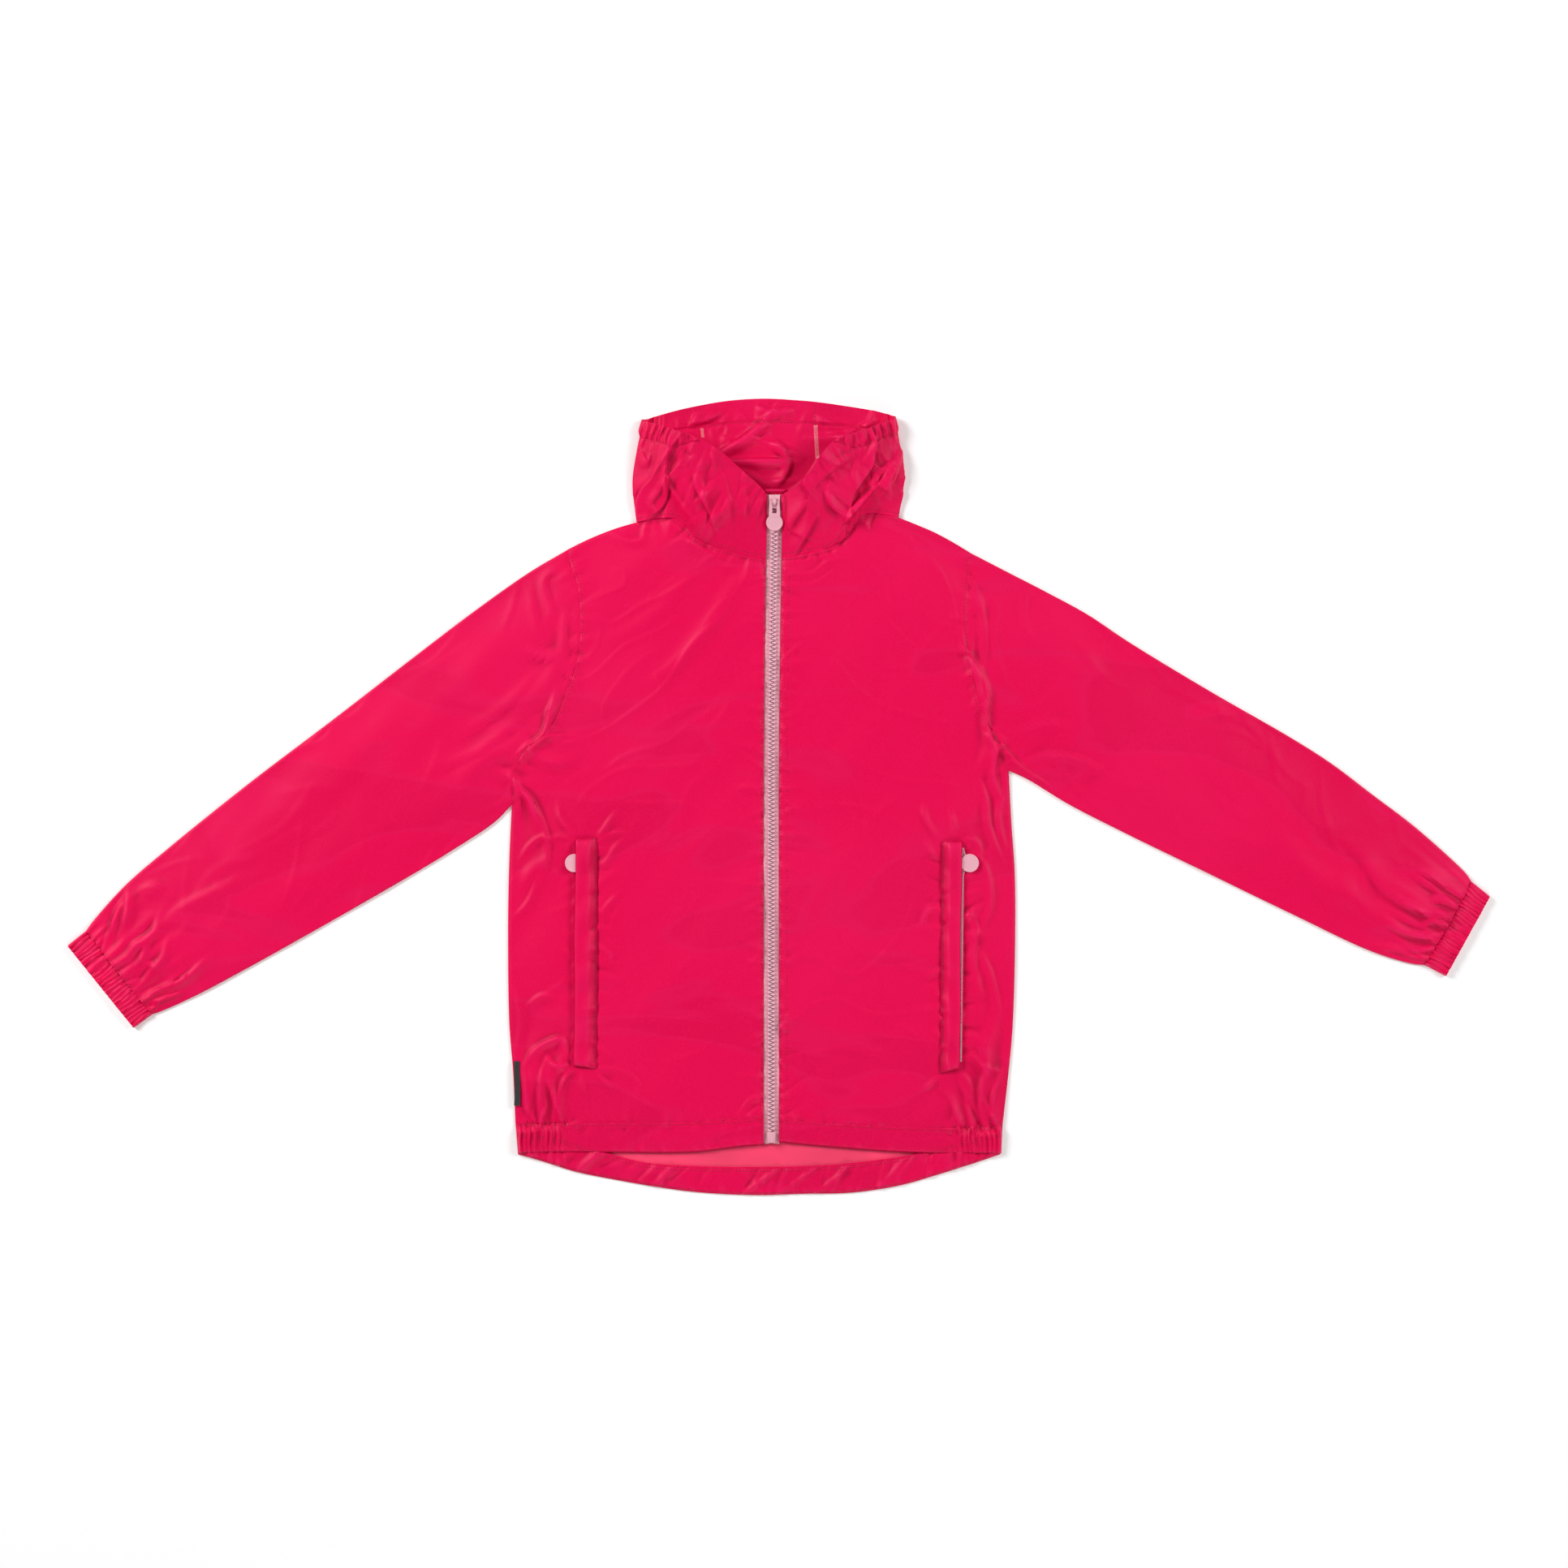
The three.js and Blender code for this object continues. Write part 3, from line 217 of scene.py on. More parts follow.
# Creases placed on the front layer: width, height and the line each follows.
CREASES = [
    # right chest
    (2.6, 0.93, [(-137, 215), (-130, 212), (-119, 208), (-105, 212)]),
    (2.4, 0.74, [(-90, 204), (-78, 210), (-64, 202), (-49, 192)]),
    (2.2, 0.5, [(-49, 192), (-44, 188), (-36, 186)]),
    (2.0, 0.37, [(-162, 156), (-148, 154), (-138, 142), (-112, 156), (-93, 165), (-50, 191)]),
    (1.9, 0.31, [(-162, 93), (-148, 102), (-125, 123), (-97, 136), (-78, 149)]),
    (2.1, 0.43, [(-167, 45), (-148, 51), (-116, 72), (-93, 91), (-70, 126), (-45, 149), (-25, 184)]),
    (2.2, 0.31, [(-169, -14), (-154, 6), (-128, 22), (-93, 25), (-52, 27)]),
    (2.0, 0.31, [(-148, -14), (-135, -6), (-105, -5), (-78, -5), (-56, -14)]),
    (1.9, 0.31, [(-151, 14), (-125, 34), (-92, 44), (-72, 60), (-52, 72)]),
    (2.2, 0.68, [(-186, 52), (-181, 49), (-175, 44), (-167, 45)]),
    (2.0, 0.56, [(-168, 99), (-157, 93)]),
    (2.0, 0.31, [(-140, 186), (-124, 182), (-125, 171), (-142, 163), (-158, 158)]),
    (1.8, 0.25, [(-158, 151), (-148, 146), (-144, 136), (-148, 120), (-157, 110)]),
    # right underarm
    (2.6, 1.8, [(-215, 33), (-204, 42), (-192, 50), (-187, 67), (-181, 89)]),
    (2.4, 1.4, [(-215, 24), (-201, 39), (-187, 49), (-171, 50)]),
    (2.4, 1.5, [(-215, 17), (-209, 6), (-201, -2), (-196, -16)]),
    (2.2, 1.2, [(-215, 14), (-212, 1), (-210, -15)]),
    (2.6, 1.2, [(-206, 4), (-195, -12), (-187, -39), (-190, -68)]),
    (2.2, 0.9, [(-211, -52), (-203, -39), (-192, -32), (-178, -36)]),
    (2.2, 0.9, [(-215, -98), (-204, -85), (-196, -65)]),
    # right hem corner
    (2.6, 1.7, [(-207, -219), (-200, -207), (-186, -198), (-176, -196), (-173, -204), (-173, -217)]),
    (2.4, 1.3, [(-189, -210), (-181, -218), (-169, -218)]),
    (2.4, 1.6, [(-202, -268), (-206, -247), (-207, -221)]),
    (2.2, 1.5, [(-194, -268), (-195, -247), (-194, -229), (-190, -214)]),
    (2.4, 1.6, [(-182, -268), (-183, -247), (-188, -228)]),
    (2.2, 1.2, [(-176, -263), (-178, -241), (-171, -223)]),
    (2.6, 1.0, [(-214, -210), (-211, -185), (-215, -154)]),
    (2.6, 1.0, [(-206, -171), (-192, -161), (-178, -164)]),
    (2.2, 0.7, [(-169, -222), (-154, -220), (-125, -223), (-113, -233), (-111, -244), (-97, -258)]),
    (2.0, 0.7, [(-34, -262), (-25, -247), (-15, -242)]),
    (2.0, 0.6, [(-29, -263), (-19, -254), (-13, -251)]),
    # left chest
    (2.4, 0.62, [(6, 181), (27, 182), (41, 192), (56, 194)]),
    (2.2, 0.5, [(6, 173), (29, 174), (47, 186)]),
    (2.0, 0.37, [(61, 225), (99, 215), (126, 192), (140, 163), (143, 141), (134, 137), (119, 149)]),
    (2.2, 0.25, [(58, 208), (72, 190), (89, 172), (96, 150)]),
    (1.8, 0.25, [(56, 186), (76, 159), (106, 126), (132, 110)]),
    (2.0, 0.31, [(17, 140), (40, 120), (66, 87), (106, 67), (152, 60)]),
    (2.0, 0.25, [(20, 54), (53, 34), (99, 14), (152, 11)]),
    (2.2, 0.31, [(17, -12), (47, -6), (80, -12), (113, -32)]),
    (2.0, 0.31, [(17, -105), (33, -131), (60, -144), (93, -118), (113, -78)]),
    (2.2, 0.37, [(17, -171), (47, -164), (80, -177), (119, -171)]),
    (2.0, 0.31, [(20, -210), (53, -204), (93, -217)]),
    # left underarm and side
    (2.4, 1.3, [(148, 136), (152, 120), (162, 100), (164, 74)]),
    (2.4, 1.6, [(159, 113), (170, 87), (169, 63), (181, 23)]),
    (2.6, 1.8, [(187, 50), (177, 34), (176, 14), (180, -2)]),
    (2.4, 1.4, [(169, 50), (185, 37), (200, 22), (218, 10)]),
    (2.4, 1.3, [(163, 14), (169, -2), (172, -25), (182, -52)]),
    (2.2, 1.1, [(184, 4), (180, -16), (185, -45)]),
    (2.2, 0.9, [(159, -44), (169, -58), (173, -89), (163, -116)]),
    (2.2, 0.9, [(163, -124), (173, -144), (180, -177)]),
    (2.4, 1.0, [(152, -91), (161, -105), (159, -131), (165, -164)]),
    (2.4, 1.2, [(156, -204), (165, -217), (180, -223)]),
    (2.4, 1.5, [(176, -270), (173, -247), (180, -223)]),
    (2.4, 1.5, [(167, -270), (163, -243), (168, -218)]),
    (2.2, 1.3, [(156, -270), (152, -245), (146, -230)]),
    (2.2, 1.1, [(146, -268), (140, -247), (132, -237)]),
    # round the pockets
    (1.8, 1.1, [(-165, -35), (-172, -27), (-178, -18), (-180, -6)]),
    (1.6, 0.8, [(-166, -38), (-174, -34), (-183, -33)]),
    (1.8, 1.1, [(-148, -34), (-144, -28), (-138, -19), (-131, -10)]),
    (1.6, 0.8, [(-146, -36), (-137, -30), (-127, -28), (-120, -34)]),
    (1.6, 0.9, [(-146, -58), (-139, -50), (-133, -40), (-124, -33)]),
    (1.6, 0.7, [(-146, -96), (-138, -86), (-130, -78)]),
    (1.6, 0.9, [(-146, -120), (-138, -126), (-134, -138)]),
    (1.8, 1.0, [(-166, -221), (-173, -229), (-178, -240)]),
    (1.8, 1.0, [(-148, -223), (-141, -231), (-132, -236)]),
    (1.6, 0.8, [(-158, -224), (-158, -236), (-154, -246)]),
    (1.8, 1.1, [(131, -37), (124, -28), (118, -17), (117, -4)]),
    (1.8, 1.1, [(149, -37), (156, -33), (163, -38), (164, -47)]),
    (1.6, 0.9, [(140, -33), (141, -22), (138, -10)]),
    (1.6, 0.9, [(130, -52), (122, -44), (118, -34)]),
    (1.6, 0.8, [(129, -88), (121, -96), (117, -108)]),
    (1.6, 0.9, [(152, -100), (157, -92), (164, -88)]),
    (1.8, 1.0, [(131, -227), (124, -235), (116, -239)]),
    (1.8, 1.0, [(147, -223), (154, -230), (158, -242)]),
    # hollows above the cuffs
    (2.2, -0.54, [(-530, -74), (-538, -92), (-549, -115)]),
    (2.2, -0.57, [(-519, -120), (-513, -110), (-506, -96)]),
    (2.0, -0.50, [(-521, -153), (-517, -144), (-512, -136)]),
    (2.2, -0.61, [(-512, -162), (-497, -154), (-483, -144), (-470, -136)]),
    (2.0, -0.54, [(-510, -171), (-495, -166), (-479, -159)]),
    (1.9, -0.43, [(-543, -124), (-536, -114), (-533, -102)]),
    (2.2, -0.57, [(551, -86), (540, -81), (526, -76), (514, -68)]),
    (2.0, -0.54, [(544, -101), (532, -99), (518, -97)]),
    (2.2, -0.61, [(538, -110), (524, -109), (508, -104), (494, -95)]),
    (2.0, -0.50, [(533, -120), (519, -121), (507, -118)]),
    (2.0, -0.50, [(530, -129), (517, -129), (500, -128)]),
    # sleeve heads
    (2.4, 1.3, [(-173, 115), (-184, 113), (-197, 115), (-208, 120)]),
    (2.2, 1.1, [(-172, 151), (-174, 130), (-173, 116)]),
    (2.2, 0.9, [(-169, 179), (-184, 182), (-190, 175), (-187, 159), (-179, 140)]),
    (2.0, 0.5, [(-201, 173), (-198, 146), (-190, 126)]),
    (1.9, 0.4, [(-211, 175), (-216, 153), (-224, 133)]),
    (3.4, 0.9, [(-196, 100), (-211, 83), (-229, 67), (-257, 50)]),
    (3.0, 0.8, [(-201, 67), (-224, 50), (-254, 31), (-283, 21)]),
    (2.6, 1.0, [(156, 133), (159, 100), (168, 74)]),
    (2.2, 0.9, [(153, 186), (164, 159), (168, 126), (165, 100)]),
    (2.0, 0.5, [(204, 175), (200, 146), (208, 126)]),
    (2.0, 0.5, [(179, 163), (176, 126), (185, 93)]),
    (3.2, 0.9, [(197, 27), (218, 34), (245, 31), (271, 17)]),
    (3.0, 0.7, [(188, 50), (212, 60), (238, 59)]),
    # above the cuffs
    (3.0, 2.0, [(-537, -118), (-533, -105), (-530, -88), (-530, -77)]),
    (2.4, 1.5, [(-543, -111), (-540, -98), (-534, -83)]),
    (3.2, 2.0, [(-528, -130), (-524, -120), (-517, -116), (-509, -109), (-504, -97)]),
    (2.2, 1.5, [(-521, -138), (-516, -126), (-512, -118)]),
    (2.6, 1.7, [(-517, -148), (-508, -139), (-501, -130), (-497, -118)]),
    (3.0, 2.0, [(-514, -159), (-501, -156), (-484, -148), (-472, -138), (-464, -131)]),
    (2.6, 1.6, [(-512, -167), (-499, -164), (-483, -159)]),
    (2.0, 1.2, [(-520, -144), (-511, -135), (-503, -138)]),
    (6.0, 1.2, [(-501, -105), (-487, -91), (-462, -78), (-435, -65)]),
    (5.0, 1.0, [(-521, -78), (-508, -72), (-498, -76)]),
    (3.0, 2.0, [(555, -82), (548, -78), (539, -72), (528, -64), (515, -58)]),
    (2.6, 1.6, [(549, -90), (539, -86), (528, -85)]),
    (3.0, 1.9, [(547, -98), (535, -97), (520, -93), (503, -86)]),
    (2.4, 1.5, [(542, -106), (531, -103), (522, -105)]),
    (3.0, 1.9, [(536, -115), (523, -115), (507, -111), (493, -103)]),
    (2.4, 1.5, [(534, -123), (522, -126), (510, -124)]),
    (3.0, 1.7, [(530, -132), (518, -131), (503, -126), (489, -123)]),
    (5.0, 1.2, [(509, -85), (489, -72), (476, -52), (462, -39)]),
]

# Creases of the hood, in plan.
HOOD_CREASES = [
    (2.6, 2.2, [(-77, 296), (-88, 277), (-102, 261), (-116, 246)]),
    (2.4, 1.6, [(-88, 276), (-87, 254), (-79, 240), (-69, 224)]),
    (2.2, 1.5, [(-87, 262), (-93, 252), (-103, 238), (-97, 228)]),
    (2.4, 1.0, [(-63, 258), (-58, 235), (-61, 216)]),
    (2.2, 1.1, [(-26, 245), (-27, 227)]),
    (2.2, 1.1, [(-13, 243), (-17, 227)]),
    (2.6, 0.8, [(-48, 268), (-40, 240), (-38, 214)]),
    (2.4, 2.0, [(91, 272), (68, 243), (52, 225), (47, 209)]),
    (2.2, 1.6, [(78, 289), (75, 275), (82, 266), (91, 272)]),
    (2.4, 1.4, [(65, 235), (57, 216), (49, 201)]),
    (3.4, 2.0, [(31, 229), (22, 213), (12, 196)]),
    (3.2, 1.8, [(25, 241), (15, 228), (6, 213)]),
    (3.0, 0.9, [(60, 276), (40, 262), (22, 244)]),
    (2.6, 1.2, [(-111, 281), (-105, 268)]),
    (2.4, 1.1, [(-103, 278), (-106, 266)]),
    (2.6, 1.4, [(99, 284), (94, 262), (86, 247)]),
    (2.4, 1.3, [(96, 270), (88, 255), (92, 240)]),
]
INSIDE_CREASES = [
    (2.6, 2.4, [(-40, 273), (-14, 273), (10, 273)]),
    (3.0, 1.8, [(-52, 278), (-33, 288), (-17, 299), (-6, 306)]),
    (3.0, 1.6, [(-4, 291), (4, 282), (9, 273)]),
    (2.6, 1.2, [(10, 273), (6, 262), (-2, 252)]),
    (2.4, 1.0, [(-70, 289), (-60, 281), (-50, 276)]),
    (2.4, 1.4, [(45, 296), (60, 289), (72, 291)]),
    (2.4, 1.2, [(-46, 312), (-60, 305), (-72, 304)]),
    (2.4, 1.2, [(30, 312), (42, 304), (54, 302)]),
    (2.4, 1.1, [(-20, 318), (-4, 313), (14, 316)]),
]


def smooth_points(points, steps=16):
    """Small steps along a smooth line through the points."""
    p = np.asarray(points, float)
    p = np.vstack([2 * p[0] - p[1], p, 2 * p[-1] - p[-2]])
    t = np.linspace(0, 1, steps, endpoint=False)[:, None]
    spans = []
    for a, b, c, d in zip(p, p[1:], p[2:], p[3:]):
        before, within, after = (
            max(np.linalg.norm(y - x) ** 0.5, 1e-6) for x, y in ((a, b), (b, c), (c, d))
        )
        start = ((b - a) / before - (c - a) / (before + within) + (c - b) / within) * within
        end = ((c - b) / within - (d - b) / (within + after) + (d - c) / after) * within
        cubic = 2 * b - 2 * c + start + end
        square = 3 * c - 3 * b - 2 * start - end
        spans.append(b + start * t + square * t**2 + cubic * t**3)
    spans.append(p[-2][None])
    return np.vstack(spans)


class Line:
    """A smooth line through points, or several of them end to end."""

    def __init__(self, *parts):
        pieces = [smooth_points(part) for part in parts]
        self.points = np.vstack([pieces[0]] + [p[1:] for p in pieces[1:]])
        steps = np.linalg.norm(np.diff(self.points, axis=0), axis=1)
        self.run = np.concatenate([[0], np.cumsum(steps)])
        self.length = self.run[-1]

    def at(self, share):
        place = np.asarray(share) * self.length
        return np.stack([np.interp(place, self.run, axis) for axis in self.points.T], -1)

    def near(self, xy, step=5):
        """Each point's distance from the line, the run along it and its side."""
        corners = self.at(np.linspace(0, 1, max(3, int(self.length / step) + 1)))
        best = np.full(len(xy), np.inf)
        run = np.zeros(len(xy))
        side = np.ones(len(xy))
        before = 0.0
        for a, b in zip(corners, corners[1:]):
            way = b - a
            length = np.hypot(*way)
            off = xy - a
            share = np.clip(off @ way / length**2, 0, 1)
            gap = np.hypot(*(off - share[:, None] * way).T)
            closer = gap < best
            best[closer] = gap[closer]
            run[closer] = before + share[closer] * length
            side[closer] = np.sign(way[0] * off[:, 1] - way[1] * off[:, 0])[closer]
            before += length
        return best, run, side

    def moved(self, distance):
        """The same line moved sideways in plan, to the left of its direction."""
        way = np.gradient(self.points, axis=0)
        way /= np.linalg.norm(way, axis=1)[:, None]
        across = np.stack([-way[:, 1], way[:, 0]], -1)
        line = Line.__new__(Line)
        line.points = self.points + across * distance
        steps = np.linalg.norm(np.diff(line.points, axis=0), axis=1)
        line.run = np.concatenate([[0], np.cumsum(steps)])
        line.length = line.run[-1]
        return line


def feet(first, last):
    """The neckline in plan, from one of the hood's stations to another."""
    step = 1 if last > first else -1
    return [HOOD[k][0][:2] for k in range(first, last + step, step)]


NECK_RIGHT = feet(SIDE_STATION_RIGHT, 0)
NECK_LEFT = feet(LAST_STATION, SIDE_STATION_LEFT)
NECK_BACK = feet(SIDE_STATION_RIGHT, SIDE_STATION_LEFT)
zip_line = Line(ZIP_LINE)


def zip_x(y):
    """Where the front zip's middle is at Y."""
    return np.interp(y, zip_line.points[:, 1], zip_line.points[:, 0])


def climb(y):
    """How far the zip and the cloth beside it have climbed at Y."""
    past = np.maximum(0, np.asarray(y, float) - CLIMB_START)
    eased = np.minimum(past, CLIMB_EASE)
    return CLIMB_SLOPE * (eased**2 / (2 * CLIMB_EASE) + past - eased)


def ease(x):
    """A smooth step from 0 to 1."""
    x = np.clip(x, 0, 1)
    return x * x * (3 - 2 * x)


def rounded(gap, reach=ROLL):
    """From 0 at a folded edge to 1 a short way in, as the cloth rolls over it."""
    return np.sqrt(1 - (1 - np.clip(gap / reach, 0, 1)) ** 2)


RIM = [
    Line(OVERARM_RIGHT + CUFF_RIGHT[:1]),
    Line(UNDERARM_RIGHT + CUFF_RIGHT[1:]),
    Line(OVERARM_LEFT + CUFF_LEFT[:1]),
    Line(UNDERARM_LEFT + CUFF_LEFT[1:]),
    Line(SIDE_RIGHT),
    Line(SIDE_LEFT),
    Line(SHOULDER_RIGHT),
    Line(SHOULDER_LEFT),
]
BODY_RIM = RIM[4:]


def cloth_top(xy):
    """The height of the front layer and the sleeves, with the frame's folds."""
    gaps = np.stack([line.near(xy, 25)[0] + 0.01 for line in RIM])
    edge = (gaps**-4.0).sum(0) ** -0.25
    inside = ease(edge / LOFT_REACH)
    folds = np.zeros(len(xy))
    for start, end, bow, width, height in FOLDS:
        way = np.subtract(end, start)
        length = np.hypot(*way)
        off = xy - start
        share = np.clip(off @ way / length**2, 0, 1)
        lift = np.sin(np.pi * share)
        gap = (way[0] * off[:, 1] - way[1] * off[:, 0]) / length - bow * lift
        folds += height * lift * np.exp(-((gap / width) ** 2))
    return EDGE_TOP + LOFT * inside + folds * np.minimum(1, inside * 4)


def creased(xy, rows, steep=0.55, slow=1.9):
    """Soft ridges along the given lines, steeper on their left than on their right."""
    z = np.zeros(len(xy))
    for width, height, points in rows:
        line = Line(points)
        reach = 2.2 * slow * width
        low, high = line.points.min(0) - reach, line.points.max(0) + reach
        inside = np.all((xy > low) & (xy < high), axis=1)
        if not inside.any():
            continue
        gap, run, side = line.near(xy[inside], 3)
        taper = np.sin(np.pi * np.clip(run / line.length, 0.03, 0.97)) ** 0.7
        spread = width * np.where(side > 0, steep, slow)
        z[inside] += height * taper * np.exp(-((gap / spread) ** 2))
    return z


def scattered(box, count, seed, slant, width, height, length, spread=35):
    """Rows of small creases strewn over a box, all unlike each other, leaning about a slant."""
    rng = np.random.default_rng(seed)
    rows = []
    for _ in range(count):
        start = rng.uniform(box[0], box[1])
        angle = np.radians(rng.normal(slant, spread))
        reach = length * rng.uniform(0.5, 1.6)
        way = np.array([np.cos(angle), np.sin(angle)])
        bend = np.array([-way[1], way[0]]) * rng.normal(0, 0.12) * reach
        line = [start, start + way * reach / 2 + bend, start + way * reach]
        rows.append((width * rng.uniform(0.7, 1.4), height * rng.uniform(0.3, 1.2), line))
    return rows


def puckered(xy, line, seed, spacing, reach, height, dip=0.35, lean=0.0):
    """Short gathers across a line of stitches, uneven in length, depth and spacing."""
    rng = np.random.default_rng(seed)
    z = np.zeros(len(xy))
    margin = 4 * reach
    low, high = line.points.min(0) - margin, line.points.max(0) + margin
    inside = np.all((xy > low) & (xy < high), axis=1)
    if not inside.any():
        return z
    gap, run, side = line.near(xy[inside])
    total = -dip * np.exp(-((gap / 1.3) ** 2))
    place = rng.uniform(0, spacing)
    while place < line.length:
        width = spacing * rng.uniform(0.2, 0.36)
        far = reach * rng.uniform(0.4, 1.7)
        deep = height * rng.uniform(0.35, 1.25) * rng.choice([1, 1, 1, -0.7])
        only = rng.choice([-1, 0, 0, 1])
        slant = rng.normal(lean, 0.35)
        along = (run - place - slant * gap * side) / (width * (1 + 0.5 * gap / far))
        bump = deep * np.exp(-(along**2)) * np.exp(-((gap / far) ** 2))
        total += np.where(side * only < 0, 0.25, 1) * bump
        place += spacing * rng.uniform(0.5, 1.6)
    z[inside] = total
    return z


ZIP_EDGE_RIGHT = Line([(-12.3, -283), (-12.3, -144), (-12.3, 0), (-11.6, 100), (-10.3, 193)])
ZIP_EDGE_LEFT = Line([(0.3, -281), (0.3, -144), (0.3, 0), (1.0, 100), (2.3, 194)])
POCKETS = {
    "right": dict(inner=[(-147.5, -33), (-148, -221)], free=[(-165, -34), (-166.5, -219)], out=-1),
    "left": dict(inner=[(132.5, -36), (131, -225)], free=[(149, -36), (147, -221)], out=1),
}
PUCKERED = [
    # line, seed, spacing, reach, height
    (ZIP_EDGE_RIGHT.moved(1.8), 11, 7.5, 11, 0.55),
    (ZIP_EDGE_LEFT.moved(-5.0), 12, 7.0, 11, 0.6),
    (ZIP_EDGE_LEFT.moved(-1.6), 13, 7.5, 6, 0.3),
    (Line(NECK_RIGHT).moved(-3.0), 14, 8.0, 9, 0.7),
    (Line(NECK_LEFT).moved(-3.0), 15, 8.0, 9, 0.7),
    (Line(ARMHOLE_RIGHT), 16, 8.0, 8, 0.7),
    (Line(ARMHOLE_LEFT), 17, 8.0, 8, 0.7),
    (Line(HEM_SEAM_RIGHT), 18, 7.0, 8, 0.5),
    (Line(HEM_SEAM_LEFT), 19, 7.0, 8, 0.5),
    (Line(POCKETS["right"]["inner"]), 20, 10.0, 11, 0.7),
    (Line(POCKETS["left"]["inner"]), 21, 10.0, 11, 0.7),
    (Line([(-168, -34), (-169, -219)]), 22, 11.0, 8, 0.5),
    (Line([(152, -36), (150, -221)]), 23, 9.0, 10, 0.8),
    (Line([(-567, -113), (-512, -179)]), 24, 5.0, 15, 1.15),
    (Line([(567, -71), (528, -138)]), 25, 5.0, 15, 1.15),
    (Line([(-212, -266), (-173, -265)]), 26, 4.6, 20, 1.7),
    (Line([(182, -267), (140, -269)]), 27, 4.6, 20, 1.7),
]
SMALL_CREASES = [
    *scattered([(-205, -240), (-20, 190)], 60, 201, 35, 2.4, 0.3, 55),
    *scattered([(10, -240), (180, 190)], 55, 202, 140, 2.4, 0.3, 55),
    *scattered([(-520, -160), (-230, 120)], 70, 203, 38, 3.0, 0.4, 60),
    *scattered([(220, -120), (520, 120)], 70, 204, 145, 3.0, 0.4, 60),
]
# Folds of the hood that lie over their neighbours: a long slope and a steep drop to its left.
HOOD_LIPS = [
    (1.3, 3.6, [(-76, 295), (-87, 278), (-89, 265), (-89, 248), (-94, 236), (-105, 226)]),
    (1.2, 2.6, [(-115, 228), (-114, 244), (-101, 260), (-88, 277)]),
    (1.2, 3.4, [(78, 290), (75, 269), (61, 248), (56, 235), (54, 219)]),
    (1.3, 3.8, [(50, 214), (57, 235), (71, 247), (83, 258), (91, 272)]),
    (1.2, 2.0, [(-52, 216), (-57, 232), (-66, 248), (-70, 262)]),
    (1.1, 1.6, [(1, 249), (4, 243), (5, 232), (4, 222)]),
]
HOOD_SCATTER = [
    *scattered([(-112, 203), (-20, 270)], 28, 211, 68, 2.7, 1.5, 32, 14),
    *scattered([(12, 203), (98, 270)], 28, 212, 112, 2.7, 1.5, 32, 14),
]
INSIDE_SCATTER = scattered([(-85, 235), (80, 315)], 26, 213, 10, 2.6, 1.3, 40)
SWELLS = [
    # wave along X, wave along Y, phase, height
    (95, 160, 0.3, 0.30),
    (-140, 90, 1.9, 0.28),
    (60, -75, 4.1, 0.16),
    (48, 120, 2.6, 0.10),
    (-33, 41, 0.8, 0.07),
]


def swell(xy):
    """Slow, shallow waves of cloth that has been folded and smoothed out."""
    return sum(
        height * np.sin(2 * np.pi * (xy[:, 0] / a + xy[:, 1] / b) + phase)
        for a, b, phase, height in SWELLS
    )


def relief(xy):
    """Everything that stands on the smooth cloth of the front layer."""
    cloth = bpy.context.scene.rain_jacket_cloth
    total = creased(xy, CREASES) * cloth.crease_depth + creased(xy, SMALL_CREASES) + swell(xy)
    for line, seed, spacing, reach, height in PUCKERED:
        total += puckered(xy, line, seed, spacing, reach, height * cloth.pucker_depth)
    return total


def front_height(xy):
    return np.maximum(cloth_top(xy) + relief(xy), 2.0)


def under_height(xy):
    """The outside of the layer that lies on the floor, lifted where it is creased."""
    mirrored = xy * (-1, 1) + (-14, 6)
    creases = 0.6 * creased(mirrored, CREASES) + 0.8 * creased(mirrored, SMALL_CREASES)
    return np.maximum(creases + 0.5 * np.maximum(0, swell(mirrored)), 0)


def patch(near, far, bottom, top):
    """Places a sheet between four edge lines, from its shares across and up."""

    def place(u, v):
        across, up = u[:, None], v[:, None]
        xy = (1 - across) * near.at(v) + across * far.at(v)
        xy += (1 - up) * bottom.at(u) + up * top.at(u)
        xy -= (1 - across) * (1 - up) * near.at(0) + across * (1 - up) * far.at(0)
        return xy - (1 - across) * up * top.at(0) - across * up * top.at(1)

    return place


def spread_out(grid, cells, axis):
    """A table averaged over some cells to each side along an axis."""
    wide = [(0, 0), (0, 0)]
    wide[axis] = (cells + 1, cells)
    total = np.cumsum(np.pad(grid, wide, mode="edge"), axis=axis)
    count = 2 * cells + 1
    high = np.take(total, range(count, total.shape[axis]), axis=axis)
    return (high - np.take(total, range(total.shape[axis] - count), axis=axis)) / count


def height_over_surroundings(u, v, z, columns, rows, size):
    """How far each point stands above the cloth within some millimetres of it."""
    i, j = np.rint(u * columns).astype(int), np.rint(v * rows).astype(int)
    grid = np.zeros((rows + 1, columns + 1))
    grid[j, i] = z
    soft = grid
    for axis, pitch in ((0, size[1] / rows), (1, size[0] / columns)):
        for _ in range(2):
            soft = spread_out(soft, max(1, round(SURROUNDINGS / pitch)), axis)
    return (grid - soft)[j, i]


def mesh_of(name, bm):
    mesh = bpy.data.meshes.new(name)
    bm.to_mesh(mesh)
    bm.free()
    return mesh


def stand_in_scene(name, mesh):
    piece = bpy.data.objects.new(name, mesh)
    bpy.context.scene.collection.objects.link(piece)
    return piece


def verts_of(geom):
    return [part for part in geom if isinstance(part, bmesh.types.BMVert)]


def face_of(geom):
    return next(part for part in geom if isinstance(part, bmesh.types.BMFace))


def bevel(bm, geom, offset, segments=2, affect="EDGES"):
    bmesh.ops.bevel(
        bm, geom=geom, offset=offset, segments=segments, profile=0.5, affect=affect, material=-1,
    )


